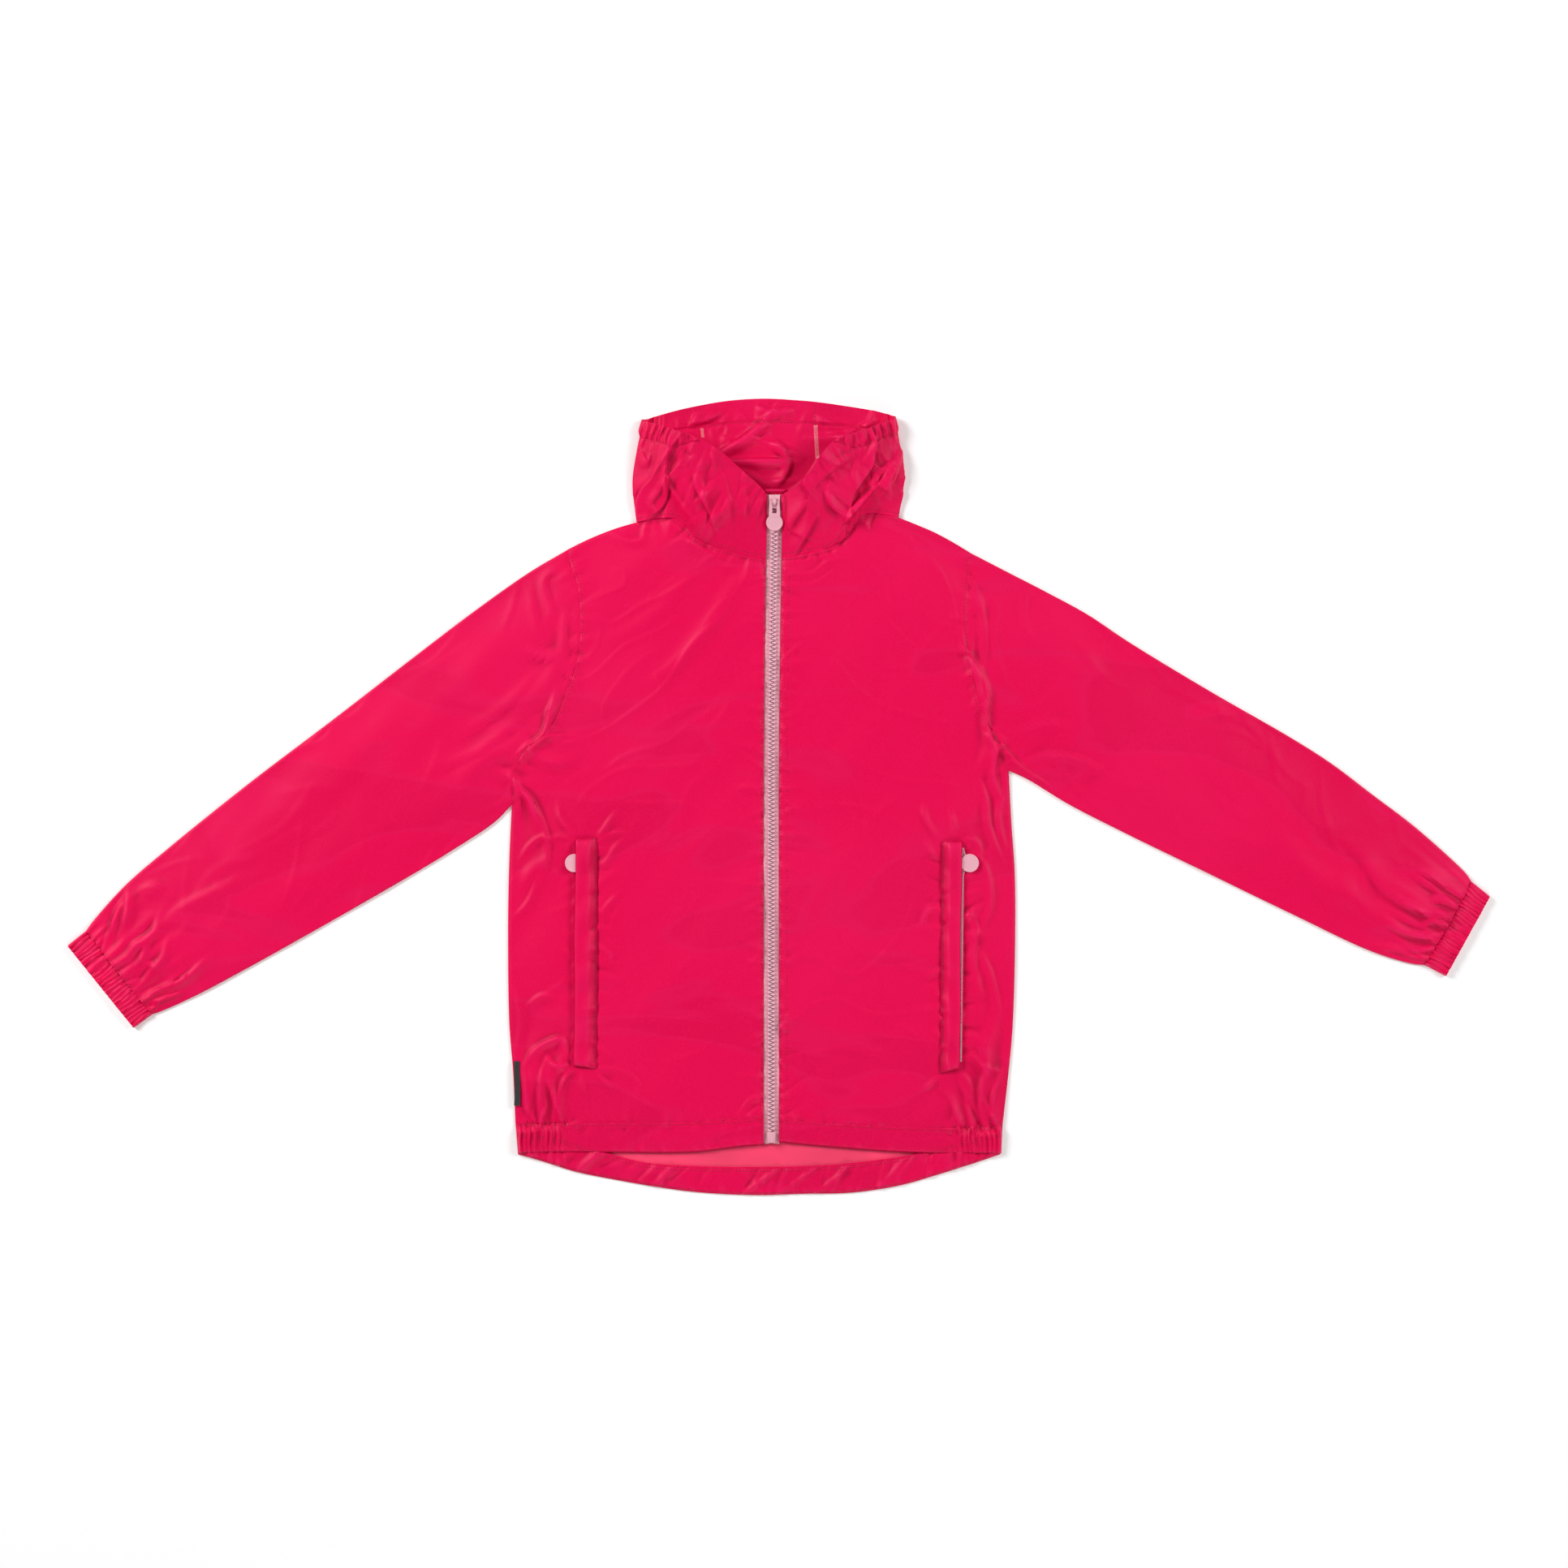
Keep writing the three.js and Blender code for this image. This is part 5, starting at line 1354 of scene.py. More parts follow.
def temple_gathers(station, v):
    """The gathers of the elastic at both temples, by the share up the casing."""
    total = np.zeros(len(station))
    for first, inward, seed in ((PEAK_RIGHT, 1, 81), (PEAK_LEFT, -1, 83)):
        share = inward * (station - first) / 6
        lean = share + 0.01 * np.sin(3 * v + 11 * share)
        wave = gathers(lean, 11, seed) + 0.4 * gathers(lean, 23, seed + 1)
        total += 2.5 * wave * (1 - ease((share - 0.75) / 0.25)) * ease((share + 0.1) / 0.1)
    return total


def gathered_casing(station, v):
    return temple_gathers(station, v) * (0.35 + 0.65 * ease(v / 0.4))


def gathered_panel(station, v):
    return temple_gathers(station, np.zeros(len(v))) * 0.35 * ease((v - 0.82) / 0.18)


def foot(station):
    return np.zeros(len(station))


def rim(station):
    return np.ones(len(station))


def make_hood():
    for name, first, last, grid, cut, extra in (
        ("side_right", 0, SEAM_RIGHT, (190, 64), (250, 95), gathered_panel),
        ("centre", SEAM_RIGHT, SEAM_LEFT, (70, 60), (98, 84), None),
        ("side_left", SEAM_LEFT, LAST_STATION, (190, 64), (240, 95), gathered_panel),
    ):
        make_hood_piece(f"hood_{name}_cloth", first, last, foot, casing_start, grid, cut, extra)
    for name, first, last, grid, cut, extra, held in (
        ("right", PEAK_RIGHT, CROWN_FROM, (220, 14), (140, 20), gathered_casing, "gathered"),
        ("crown", CROWN_FROM, CROWN_TO, (110, 12), (160, 20), None, "laid"),
        ("left", CROWN_TO, PEAK_LEFT, (220, 14), (140, 20), gathered_casing, "gathered"),
    ):
        name = f"hood_edge_{name}_cloth"
        make_hood_piece(name, first, last, casing_start, rim, grid, cut, extra)


def strip(name, left, right, low, high, columns, rows, height, cut, up=True):
    """A strip along the front zip, placed by its offsets across and its ends."""

    def place(u, v):
        y = low + (high - low) * v
        x = zip_x(y) + left + (right - left) * u
        return np.column_stack([x, y, height(u, v, y)])

    return build_sheet(name, columns, rows, place, cut, up)


def make_chin_guard():
    def height(u, v, y):
        lip = 4.2 * ease((y - 244) / 5) * (0.7 + 0.3 * np.sin(4 * u))
        bulge = 0.7 * np.sin(np.pi * u) + 0.5 * np.sin(9 * u + 2) * np.sin(np.pi * v)
        return climb(y) + 2.0 + lip + 0.4 * bulge

    piece = strip("chin_guard_cloth", -11, 11, 204, 249, 24, 50, height, (22, 46))
    return lay(piece, ["chin_guard"], (22, 46))


# Small parts.
def new_piece(name, bm, material, nodes, body="jacket", angle=40):
    """Finishes a bmesh drawn in mm as a hard piece."""
    bmesh.ops.scale(bm, vec=(MM, MM, MM), verts=bm.verts)
    bmesh.ops.recalc_face_normals(bm, faces=bm.faces)
    mesh = mesh_of(name, bm)
    mesh.materials.append(finish(material))
    smooth(mesh, angle)
    return declare(stand_in_scene(name, mesh), nodes, body)


def block(bm, low, high, round_off, taper=1.0, segments=2):
    """A box between two corners with bevelled edges, its -Y end narrowed by a taper."""
    made = bmesh.ops.create_cube(bm, size=1)["verts"]
    low, high = Vector(low), Vector(high)
    for vert in made:
        vert.co = Vector(l + (h - l) * (c + 0.5) for l, h, c in zip(low, high, vert.co))
        if vert.co.y == low.y:
            vert.co.x *= taper
    bevel(bm, list({e for v in made for e in v.link_edges}), round_off, segments)


def disc(bm, radius, thickness, rim, sink, segments=56):
    """A round plate with a raised rim on both faces."""
    made = bmesh.ops.create_circle(bm, cap_ends=True, radius=radius, segments=segments)["verts"]
    bmesh.ops.translate(bm, vec=(0, 0, -thickness / 2), verts=made)
    low = made[0].link_faces[0]
    grown = bmesh.ops.extrude_face_region(bm, geom=[low], use_keep_orig=True)["geom"]
    bmesh.ops.translate(bm, vec=(0, 0, thickness), verts=verts_of(grown))
    top = face_of(grown)
    bmesh.ops.recalc_face_normals(bm, faces=bm.faces)
    bevel(bm, [e for f in (low, top) for e in f.edges], 0.3)
    faces = [f for f in bm.faces if len(f.verts) == segments]
    bmesh.ops.inset_individual(bm, faces=faces, thickness=rim)
    bmesh.ops.inset_individual(bm, faces=faces, thickness=0.35, depth=-sink)
    bmesh.ops.inset_individual(bm, faces=faces, thickness=0.5)


def link_frame(bm, cuts_x, cuts_y, thickness):
    """A flat frame round a window, as the front pull has above its disc."""
    made = bmesh.ops.create_grid(bm, x_segments=3, y_segments=3, size=1.5)["verts"]
    for vert in made:
        vert.co.x = cuts_x[round(vert.co.x + 1.5)]
        vert.co.y = cuts_y[round(vert.co.y + 1.5)]
        vert.co.z = -thickness / 2
    faces = {f for v in made for f in v.link_faces}
    middle = min(faces, key=lambda f: sum((v.co - Vector((0, -5, 0))).length for v in f.verts))
    bmesh.ops.delete(bm, geom=[middle], context="FACES_ONLY")
    faces = list(faces - {middle})
    grown = bmesh.ops.extrude_face_region(bm, geom=faces, use_keep_orig=True)["geom"]
    verts = verts_of(grown)
    bmesh.ops.translate(bm, vec=(0, 0, thickness), verts=verts)
    edges = {e for v in (*made, *verts) if v.is_valid for e in v.link_edges}
    sharp = [e for e in edges if len(e.link_faces) == 2 and e.calc_face_angle(0) > 1]
    bevel(bm, sharp, 0.35)


def arch(bm, width, wall, reach, foot, spring):
    """A loop along the zip: two legs and half a ring."""
    made = bmesh.ops.create_grid(bm, x_segments=1, y_segments=1, size=0.5)["verts"]
    for vert in made:
        vert.co = Vector((vert.co.x * width, reach - wall / 2 + vert.co.y * wall, foot))
    bevel(bm, made, 0.35, affect="VERTICES")
    level = [f for f in bm.faces if abs(f.calc_center_median().z - foot) < 1e-6]
    face = next(f for f in level if len(f.verts) > 4)
    for turn in (False, True, False):
        if turn:
            made = bmesh.ops.spin(
                bm, geom=[face, *face.edges, *face.verts], cent=(0, 0, spring), axis=(1, 0, 0),
                angle=np.pi, steps=12,
            )["geom_last"]
        else:
            made = bmesh.ops.extrude_face_region(bm, geom=[face])["geom"]
            rise = spring - foot if face.calc_center_median().y > 0 else foot - spring
            bmesh.ops.translate(bm, vec=(0, 0, rise), verts=verts_of(made))
        face = face_of(made)


def repeated(name, shape, places, material, nodes, angle=40):
    """One small shape set at every place and joined."""
    total = bmesh.new()
    for first in range(0, len(places), 60):
        group = bmesh.new()
        for place in places[first:first + 60]:
            start = len(group.verts)
            group.from_mesh(shape)
            group.verts.ensure_lookup_table()
            bmesh.ops.transform(group, matrix=place, verts=group.verts[start:])
        mesh = mesh_of("group", group)
        total.from_mesh(mesh)
        bpy.data.meshes.remove(mesh)
    return new_piece(name, total, material, nodes, "jacket", angle)


def tooth():
    """One moulded tooth in mm: its clamp on the tape at -X and its head past the middle."""
    bm = bmesh.new()
    made = bmesh.ops.create_cube(bm, size=1)["verts"]
    bmesh.ops.scale(bm, vec=(2.0, 1.9, 2.3), verts=made)
    bmesh.ops.translate(bm, vec=(-1.9, 0, 1.15), verts=made)
    front = max(bm.faces, key=lambda f: f.calc_center_median().x)
    for step, squeeze in ((0.7, 0.62), (0.6, 0.95), (0.4, 0.7)):
        grown = bmesh.ops.extrude_face_region(bm, geom=[front])["geom"]
        verts = verts_of(grown)
        bmesh.ops.translate(bm, vec=(step, 0, 0), verts=verts)
        bmesh.ops.scale(bm, vec=(1, squeeze, 0.96), verts=verts)
        front = face_of(grown)
    ridge = [e for e in bm.edges if e.is_manifold and e.calc_face_angle(0) > 0.9]
    bevel(bm, ridge, 0.22, 1)
    return mesh_of("tooth", bm)


def slope_at(y):
    return np.arctan((climb(y + 0.5) - climb(y - 0.5)))


def on_zip(y, height, turned=False):
    """Where a part sits on the front zip: moved along it and leant with its climb."""
    place = Matrix.Translation((float(zip_x(y)), float(y), float(climb(y) + height)))
    place @= Matrix.Rotation(float(slope_at(y)), 4, "X")
    return place @ Matrix.Rotation(np.pi if turned else 0, 4, "Z")


def make_zip():
    def weave(inner):
        def height(u, v, y):
            edge = np.minimum(u, 1 - u) * TAPE_WIDTH
            sunk = 1 - ease(np.abs(u - inner) * TAPE_WIDTH / TEETH_GROOVE)
            wave = 0.12 * np.sin(y / 11 + 4 * u) + 0.08 * np.sin(y / 4.7)
            return climb(y) + 2.9 + 0.4 * rounded(edge, 0.7) + wave - 1.1 * sunk

        return height

    for side, left, right, inner in (("right", -6.5, -0.15, 1), ("left", 0.15, 6.5, 0)):
        height = weave(inner)
        piece = strip(f"zip_tape_{side}_cloth", left, right, -282, 245, 16, 260, height, (6.4, 527))
        lay_trim(piece, f"zip_tape_{side}", (6.5, 530), "tape_weave", 0.5)
    pitch = bpy.context.scene.rain_jacket_zip.tooth_pitch
    shape = tooth()
    places = []
    for k in range(int(515 / pitch)):
        places.append(on_zip(-272 + (k + 0.25) * pitch, 3.25))
        places.append(on_zip(-272 + (k + 0.75) * pitch, 3.25, True))
    repeated("zip_teeth", shape, places, "teeth_plastic", ["zip_chain"])

    bm = bmesh.new()
    block(bm, (-3.5, -4.5, 0), (3.5, 4.5, 3.2), 0.9, 0.9, 3)
    for x in (-1.5, 1.5):
        block(bm, (x - 0.5, -3.2, 3.0), (x + 0.5, 3.2, 3.5), 0.2)
    bmesh.ops.transform(bm, matrix=on_zip(-276.8, 3.6), verts=bm.verts)
    new_piece("zip_stop_box", bm, "pull_plastic", ["zip_stop"])

    bm = bmesh.new()
    block(bm, (-4.7, -5.5, 6.2), (4.7, 5.5, 7.5), 0.5, 0.8, 3)
    block(bm, (-4.7, -5.5, 2.9), (4.7, 5.5, 3.25), 0.15, 0.8)
    for side in (-1, 1):
        block(bm, (side * 4.1 - 0.6, -5.5, 3.0), (side * 4.1 + 0.6, 5.5, 7.0), 0.3, 0.8)
    block(bm, (-0.9, 3.6, 3.0), (0.9, 5.4, 7.2), 0.3)
    arch(bm, 2.4, 1.2, 3.0, 7.3, 8.3)
    bmesh.ops.transform(bm, matrix=on_zip(SLIDER_Y, 0), verts=bm.verts)
    new_piece("zip_slider_body", bm, "pull_plastic", ["zip_slider"])

    bm = bmesh.new()
    disc(bm, 6.7, 1.5, 0.75, 0.22)
    bmesh.ops.translate(bm, vec=(0, -17, 0), verts=bm.verts)
    link_frame(bm, (-4.6, -1.85, 1.85, 4.6), (-12.8, -9.4, -0.7, 0.7), 1.4)
    for vert in bm.verts:
        if vert.co.y > -9:
            vert.co.x *= 0.9
    tilt = Matrix.Translation((0, 0, 8.8)) @ Matrix.Rotation(0.06, 4, "X")
    bmesh.ops.transform(bm, matrix=on_zip(SLIDER_Y, 0) @ tilt, verts=bm.verts)
    new_piece("zip_pull_disc", bm, "pull_plastic", ["zip_pull"], "zip_pull")


def make_pocket(side):
    spec = POCKETS[side]
    inner, free, out = Line(spec["inner"]), Line(spec["free"]), spec["out"]
    width = np.hypot(*(inner.at(0) - free.at(0)))

    def between(share, along):
        return inner.at(along) * (1 - share[:, None]) + free.at(along) * share[:, None]

    def welt_place(u, v):
        share = u if out > 0 else 1 - u
        along = 1 - v
        bow = 0.5 * np.sin(9 * along + 1) * np.sin(np.pi * along) * ease(share)
        xy = between(share, along) + np.column_stack([bow, np.zeros(len(u))])
        ends = rounded(np.minimum(along, 1 - along) * inner.length, 7)
        wave = 0.45 * np.sin(xy[:, 1] / 7.3 + 3 * share) + 0.3 * np.sin(xy[:, 1] / 3.9 + 1)
        z = cloth_top(xy) + 0.9 + (0.5 + 3.7 * ease(2.2 * share)) * (0.3 + 0.7 * ends)
        z += wave * np.sin(np.pi * share) + puckered(xy, inner.moved(-2.5 * out), 91, 9, 8, 0.6, 0.5)
        z -= 2.4 * (1 - rounded((1 - share) * width, 1.6))
        return np.column_stack([xy, z])

    welt = build_sheet(f"pocket_welt_{side}_cloth", 26, 200, welt_place, (width, 188))
    lay(welt, [f"pocket_welt_{side}"], (19, 190))

    def shown(along):
        gape = 2.1 * ease((along - 0.03) / 0.05) * (1 - ease((along - 0.1) / 0.06))
        return (-1.2 if out < 0 else 1.3) + gape * (out > 0)

    def tape_place(u, v):
        share = u if out > 0 else 1 - u
        along = 0.97 - 0.94 * v
        edge = 1 + shown(along) / width
        xy = between(edge - (1 - share) * 11 / width, along)
        return np.column_stack([xy, cloth_top(xy) + 1.1 + 0.25 * rounded((1 - share) * 11, 0.8)])

    tape = build_sheet(f"pocket_zip_{side}_cloth", 8, 120, tape_place, (11, 178))
    lay_trim(tape, f"pocket_zip_{side}", (11.2, 178), "tape_weave", 0.4)
    bm = bmesh.new()
    block(bm, (-0.7, -0.45, 0), (0.7, 0.45, 0.8), 0.15, 1.0, 1)
    shape = mesh_of("pocket_tooth", bm)
    places = []
    for along in np.linspace(0.035, 0.965, 108):
        edge = np.array([1 + (shown(along) - 0.4) / width])
        xy = between(edge, np.array([along]))
        z = cloth_top(xy)[0] + 1.35
        places.append(Matrix.Translation((*xy[0], z)))
    repeated(f"pocket_teeth_{side}", shape, places, "teeth_plastic", [])

    centre = np.array([[-166.0, -54.0]] if out < 0 else [[155.0, -54.0]])
    bm = bmesh.new()
    disc(bm, 7.4, 1.6, 0.7, 0.22)
    stem = (4, 13) if out < 0 else (-13, -4)
    block(bm, (stem[0], 0.5, -0.8), (stem[1], 4.5, 0.8), 0.4)
    height = cloth_top(centre)[0] + 2.3
    place = Matrix.Translation((*centre[0], height)) @ Matrix.Rotation(out * 0.03, 4, "Y")
    bmesh.ops.transform(bm, matrix=place, verts=bm.verts)
    new_piece(f"pocket_pull_{side}_disc", bm, "pull_plastic", [f"pocket_pull_{side}"])


def make_pockets():
    for side in POCKETS:
        make_pocket(side)


def make_label():
    def place(u, v):
        x = -215.0 + 4.8 * u + 0.3 * np.sin(5 * v)
        y = -251.0 + 36 * v
        xy = np.column_stack([x, y])
        z = cloth_top(xy) + 1.7 + 0.5 * np.sin(3 * v + 2 * u) - 0.8 * (1 - rounded(4.8 * u, 1.2))
        return np.column_stack([xy, z])

    piece = build_sheet("side_label_cloth", 12, 60, place, (4.8, 36))
    lay_trim(piece, "side_label", (4.9, 36.5), "label_weave", 0.5)


# Sewing.
def drop(xy, trees, above=True):
    """Where the outermost cloth lies at places in plan, seen from above or from below, in mm."""
    way = Vector((0, 0, -1 if above else 1))
    found = []
    for x, y in np.asarray(xy) * MM:
        hits = [tree.ray_cast(Vector((x, y, 1 if above else -1)), way)[0] for tree in trees]
        heights = [hit.z / MM for hit in hits if hit]
        found.append((max if above else min)(heights) if heights else np.nan)
    return np.array(found)


def cloth_trees():
    graph = bpy.context.evaluated_depsgraph_get()
    sheets = [piece for piece in bpy.context.scene.objects if piece.name.endswith("_cloth")]
    return [BVHTree.FromObject(sheet, graph) for sheet in sheets]


def hood_line(first, last, v):
    """A line in plan along the hood's cloth, at a share of its height."""
    stations = np.linspace(first, last, int(abs(last - first) * 6) + 2)
    return Line(hood_surface(stations, np.full(len(stations), v), hood_table())[:, :2])


def seam_in_hood(station, low, high):
    heights = np.linspace(low, high, 12)
    return Line(hood_surface(np.full(12, float(station)), heights, hood_table())[:, :2])


def make_seam_tapes():
    """The pale films that seal the two seams of the hood's back, and the join of its lining."""
    trees = cloth_trees()
    for name, line, wide in (
        ("seam_tape_left", seam_in_hood(SEAM_LEFT, 0.52, 0.8), 3.2),
        ("seam_tape_right", seam_in_hood(SEAM_RIGHT, 0.72, 0.8), 2.6),
    ):
        def place(u, v):
            middle = line.at(v)
            xy = middle + np.column_stack([(u - 0.5) * wide, np.zeros(len(u))])
            z = drop(xy, trees)
            return np.column_stack([xy, z + 0.12 + 0.1 * np.sin(np.pi * u)])

        piece = build_sheet(name, 4, 70, place, (wide, line.length))
        cut = (wide + 0.2, line.length * 1.15)
        lay_trim(piece, None, cut, "seam_tape", 0.1)


def stitch_rows():
    """Each row: its line, the pitch of its stitches and whether it is seen from above."""
    right, left, tail = Line(ARMHOLE_RIGHT), Line(ARMHOLE_LEFT), Line(TAIL_SEAM)
    neck_right, neck_left = Line(NECK_RIGHT), Line(NECK_LEFT)
    cuff_right = Line([OVERARM_RIGHT[-1], UNDERARM_RIGHT[-1]]).moved(1.4)
    cuff_left = Line([OVERARM_LEFT[-1], UNDERARM_LEFT[-1]]).moved(-1.4)
    cuffs = [(cuff_right, CUFF_STITCH), (cuff_left, CUFF_STITCH)]
    casing = CASING_START - 0.015
    above = [
        (ZIP_EDGE_RIGHT, 1.8), (ZIP_EDGE_LEFT, -1.8), (ZIP_EDGE_LEFT, -6.6),
        (Line(HEM_SEAM_RIGHT), -2), (Line(HEM_SEAM_LEFT), -2),
        (neck_right, -2.2), (neck_left, -2.2), (neck_right, 3.0), (neck_left, 3.0),
        (right, -1.8), (left, 1.8), (tail, -1.6), (tail, -3.6), (Line(TAIL), 2),
    ]
    below = [(right, -1.8), (left, 1.8), (tail, -1.6), (Line(NECK_BACK), 2.0)]
    in_hood = [
        (hood_line(PEAK_RIGHT, CROWN_FROM, casing), SHORT_STITCH),
        (hood_line(CROWN_FROM, CROWN_TO, casing), STITCH),
        (hood_line(CROWN_TO, PEAK_LEFT, casing), SHORT_STITCH),
        (seam_in_hood(SEAM_RIGHT, 0.84, 0.98), STITCH),
        (seam_in_hood(SEAM_LEFT, 0.55, 0.98), STITCH),
    ]
    rows = [(line.moved(aside), STITCH, True) for line, aside in above]
    rows += [(line, pitch, True) for line, pitch in in_hood + cuffs]
    rows += [(line.moved(aside), STITCH, False) for line, aside in below]
    rows += [(line, pitch, False) for line, pitch in cuffs]
    for spec in POCKETS.values():
        inner, free = Line(spec["inner"]), Line(spec["free"])
        rows.append((inner.moved(spec["out"] * 1.6), STITCH, True))
        for end in (0, 1):
            inwards = -1.5 if (end == 0) == (spec["out"] > 0) else 1.5
            corners = Line([inner.at(end), free.at(end)])
            rows.append((corners.moved(inwards), SHORT_STITCH, True))
    return rows


def make_stitches():
    trees = cloth_trees()
    bm = bmesh.new()
    bmesh.ops.create_icosphere(bm, subdivisions=1, radius=1)
    lump = mesh_of("stitch", bm)
    rng = np.random.default_rng(5)
    places = []
    for line, pitch, above in stitch_rows():
        count = max(2, int(line.length / pitch))
        ends = np.stack([(np.arange(count) + 0.18) / count, (np.arange(count) + 0.82) / count])
        first, last = line.at(ends[0]), line.at(ends[1])
        low, high = drop(first, trees, above), drop(last, trees, above)
        for a, b, za, zb in zip(first, last, low, high):
            if np.isnan(za) or np.isnan(zb) or abs(za - zb) > STITCH_STEP:
                continue
            sunk = 0 if above else STITCH_SINK
            start, end = Vector((*a, za + sunk)), Vector((*b, zb + sunk))
            turn = (end - start).to_track_quat("X", "Z").to_matrix().to_4x4()
            wide = STITCH_WIDTH * rng.uniform(0.8, 1.2)
            size = Matrix.Diagonal(((end - start).length / 2, wide, STITCH_HEIGHT, 1))
            places.append(Matrix.Translation((start + end) / 2) @ turn @ size)
    repeated("stitches", lump, places, "sewing_thread", [], 80)


# Stage.
def make_stage():
    stage = bpy.context.scene.rain_jacket_stage
    scene = bpy.context.scene
    bm = bmesh.new()
    bmesh.ops.create_grid(bm, x_segments=8, y_segments=8, size=4)
    mesh = mesh_of("floor", bm)
    mesh.transform(Matrix.Translation((0, 0, -FLOOR_DROP * MM)))
    mesh.materials.append(finish("floor_paper"))
    floor = stand_in_scene("floor", mesh)

    world = bpy.data.worlds.new("studio")
    scene.world = world
    world.use_nodes = True
    sky = world.node_tree.nodes["Background"]
    sky.inputs["Color"].default_value = (1, 1, 1, 1)
    sky.inputs["Strength"].default_value = stage.fill_light

    for name, place, size, power in (
        ("key", (-1.9, 1.1, 1.7), 1.1, stage.key_light),
        ("side", (2.0, 0.7, 1.6), 1.1, stage.key_light * 0.55),
        ("low", (0.4, -2.1, 1.5), 1.0, stage.key_light * 0.3),
    ):
        light = bpy.data.lights.new(name, "AREA")
        light.size = size
        light.energy = power
        lamp = stand_in_scene(name, light)
        lamp.location = place
        lamp.rotation_euler = (-Vector(place)).to_track_quat("-Z", "Y").to_euler()

    camera = bpy.data.cameras.new("camera")
    camera.lens = stage.lens
    camera.sensor_width = SENSOR
    eye = stand_in_scene("camera", camera)
    x, y = PICTURE_CENTRE
    eye.location = (x * MM, y * MM, PICTURE * PIXEL * MM * stage.lens / SENSOR)
    scene.camera = eye
    scene.view_settings.view_transform = "Standard"


def colour(name, description, default):
    return bpy.props.FloatVectorProperty(
        name=name, description=description, subtype="COLOR", size=3, default=default, min=0, max=1,
    )


def number(name, description, default, low, high=1000, subtype="NONE"):
    return bpy.props.FloatProperty(
        name=name, description=description, default=default, min=low, max=high, subtype=subtype,
    )


class RainJacketCloth(bpy.types.PropertyGroup):
    """Sizes and colours of the jacket's cloth."""

    shell_colour: colour("Shell", "Outside of the cloth", (0.80, 0.0005, 0.072))
    # Lighter threads and broad lighter patches; the same colour is the painted highlight on ridges and
    # on the rims of the darker patches.
    shell_pale_and_highlight: colour("Shell light", "Lighter threads and worn places", (0.87, 0.012, 0.12))
    inside_colour: colour("Inside", "Coated inner side of the cloth", (1.0, 0.05, 0.15))
    seam_tape_colour: colour("Seam tape", "Film over the hood's seams", (0.86, 0.14, 0.2))
    thickness: number("Thickness", "Thickness of the cloth in mm", 0.4, 0.2, 1.2)
    weave_pitch: number("Weave", "Distance between threads in mm", 0.5, 0.2, 3)
    crease_depth: number("Creases", "Depth of the placed creases", 1.5, 0, 2)
    pucker_depth: number("Puckers", "Depth of the gathers along the stitches", 1.5, 0, 2)


class RainJacketZip(bpy.types.PropertyGroup):
    """Sizes and colours of the zips."""

    tape_colour: colour("Tape", "Zip tape", (0.80, 0.38, 0.46))
    teeth_colour: colour("Teeth", "Moulded teeth", (0.86, 0.49, 0.58))
    # Painted shade on the tape between the teeth.
    groove_painted_shade: colour("Groove", "Tape deep between the teeth", (0.20, 0.07, 0.19))
    pull_colour: colour("Pulls", "Slider and pulls", (0.84, 0.42, 0.50))
    tooth_pitch: number("Tooth pitch", "Distance between teeth of one side in mm", 3.4, 1)


class RainJacketStage(bpy.types.PropertyGroup):
    """Floor, lights and camera."""

    floor_colour: colour("Floor", "Colour of the floor", (0.95, 0.95, 0.95))
    fill_light: number("Fill", "Strength of the even light", 0.15, 0)
    key_light: number("Key", "Power of the main softbox in watts", 60, 0, subtype="POWER")
    lens: number("Lens", "Focal length", 100, 35, subtype="DISTANCE_CAMERA")


def operator(name, label, note, make):
    """An operator class that makes one piece or group of pieces."""

    def execute(self, context):
        make()
        return {"FINISHED"}

    members = {"__doc__": note, "bl_label": label, "execute": execute}
    members["bl_idname"] = f"rain_jacket.{name}"
    return type(f"RAIN_JACKET_OT_{name}", (bpy.types.Operator,), members)


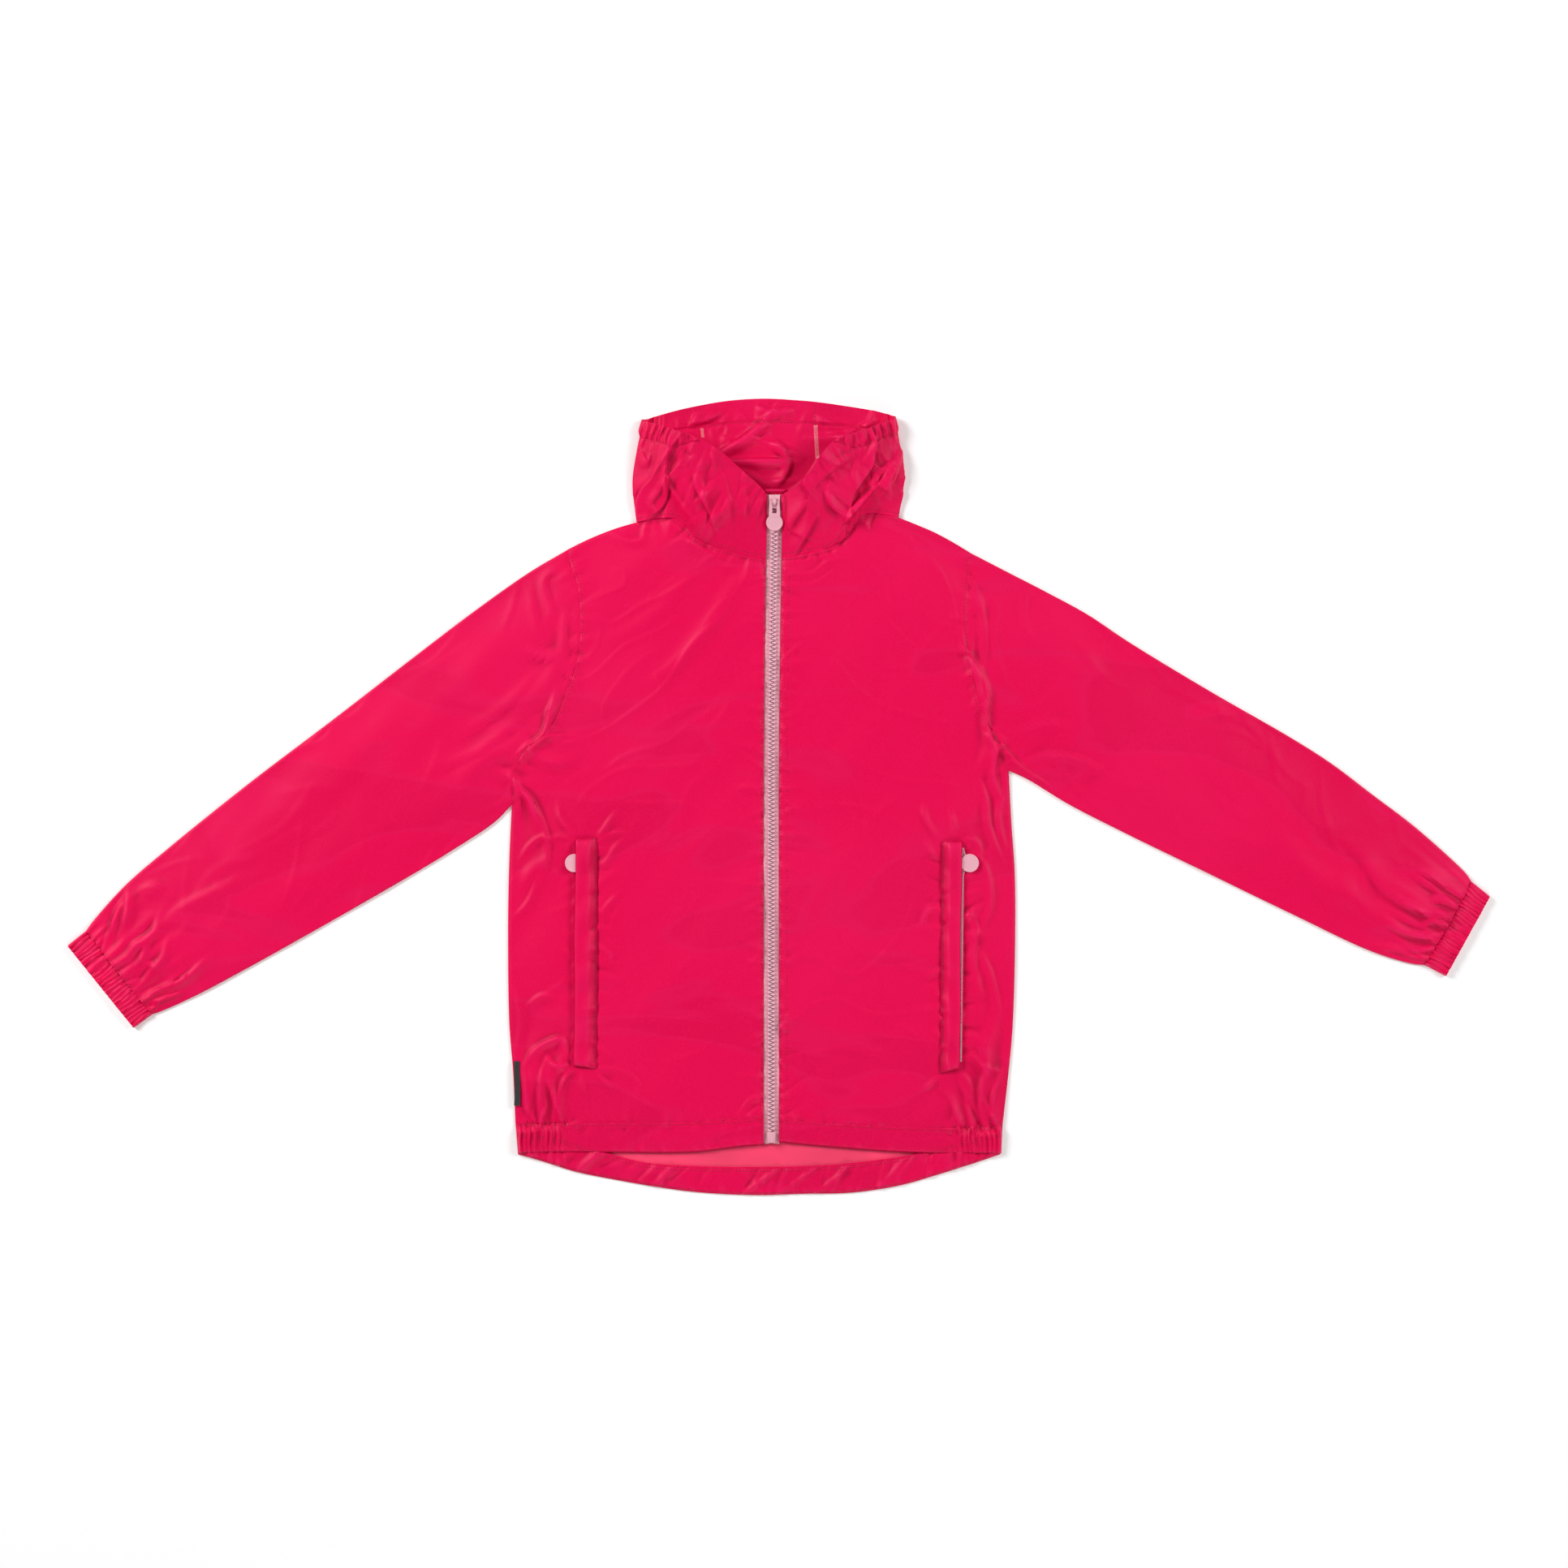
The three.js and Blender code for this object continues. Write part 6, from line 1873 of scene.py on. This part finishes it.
OPERATORS = [
    operator("stage", "Stage", "Make the floor, the lights and the camera", make_stage),
    operator("back", "Back", "Make the back panel", make_back),
    operator("fronts", "Fronts", "Make the two front panels", make_fronts),
    operator("hems", "Hems", "Make the hem casings and the tail", make_hems),
    operator("sleeves", "Sleeves", "Make the sleeves and cuffs", make_sleeves),
    operator("hood", "Hood", "Make the hood and its casing", make_hood),
    operator("chin_guard", "Chin guard", "Make the guard over the zip's top", make_chin_guard),
    operator("pockets", "Pockets", "Make the pocket welts, zips and pulls", make_pockets),
    operator("front_zip", "Front zip", "Make the front zip, its slider and its pull", make_zip),
    operator("label", "Label", "Make the label in the side seam", make_label),
    operator("seam_tapes", "Seam tapes", "Make the tapes over the hood's seams", make_seam_tapes),
    operator("stitches", "Stitches", "Sew all the rows of stitches", make_stitches),
]


class RAIN_JACKET_PT_panel(bpy.types.Panel):
    """Lists the jacket's sizes, colours and pieces."""

    bl_label = "Rain Jacket"
    bl_idname = "RAIN_JACKET_PT_panel"
    bl_space_type = "VIEW_3D"
    bl_region_type = "UI"
    bl_category = "Rain Jacket"

    def draw(self, context):
        layout = self.layout
        for group in ("rain_jacket_cloth", "rain_jacket_zip", "rain_jacket_stage"):
            values = getattr(context.scene, group)
            for name in values.bl_rna.properties.keys():
                if name not in ("rna_type", "name"):
                    layout.prop(values, name)
        for made in OPERATORS:
            layout.operator(made.bl_idname)


GROUPS = {
    "rain_jacket_cloth": RainJacketCloth,
    "rain_jacket_zip": RainJacketZip,
    "rain_jacket_stage": RainJacketStage,
}


def register():
    for group in (*GROUPS.values(), *OPERATORS, RAIN_JACKET_PT_panel):
        bpy.utils.register_class(group)
    for name, group in GROUPS.items():
        setattr(bpy.types.Scene, name, bpy.props.PointerProperty(type=group))


def unregister():
    for name in GROUPS:
        delattr(bpy.types.Scene, name)
    for group in (RAIN_JACKET_PT_panel, *reversed(OPERATORS), *GROUPS.values()):
        bpy.utils.unregister_class(group)


def main():
    register()
    for made in OPERATORS:
        name = made.bl_idname.split(".")[1]
        if getattr(bpy.ops.rain_jacket, name)() != {"FINISHED"}:
            raise RuntimeError(f"{name} wasn't made")


if __name__ == "__main__":
    main()
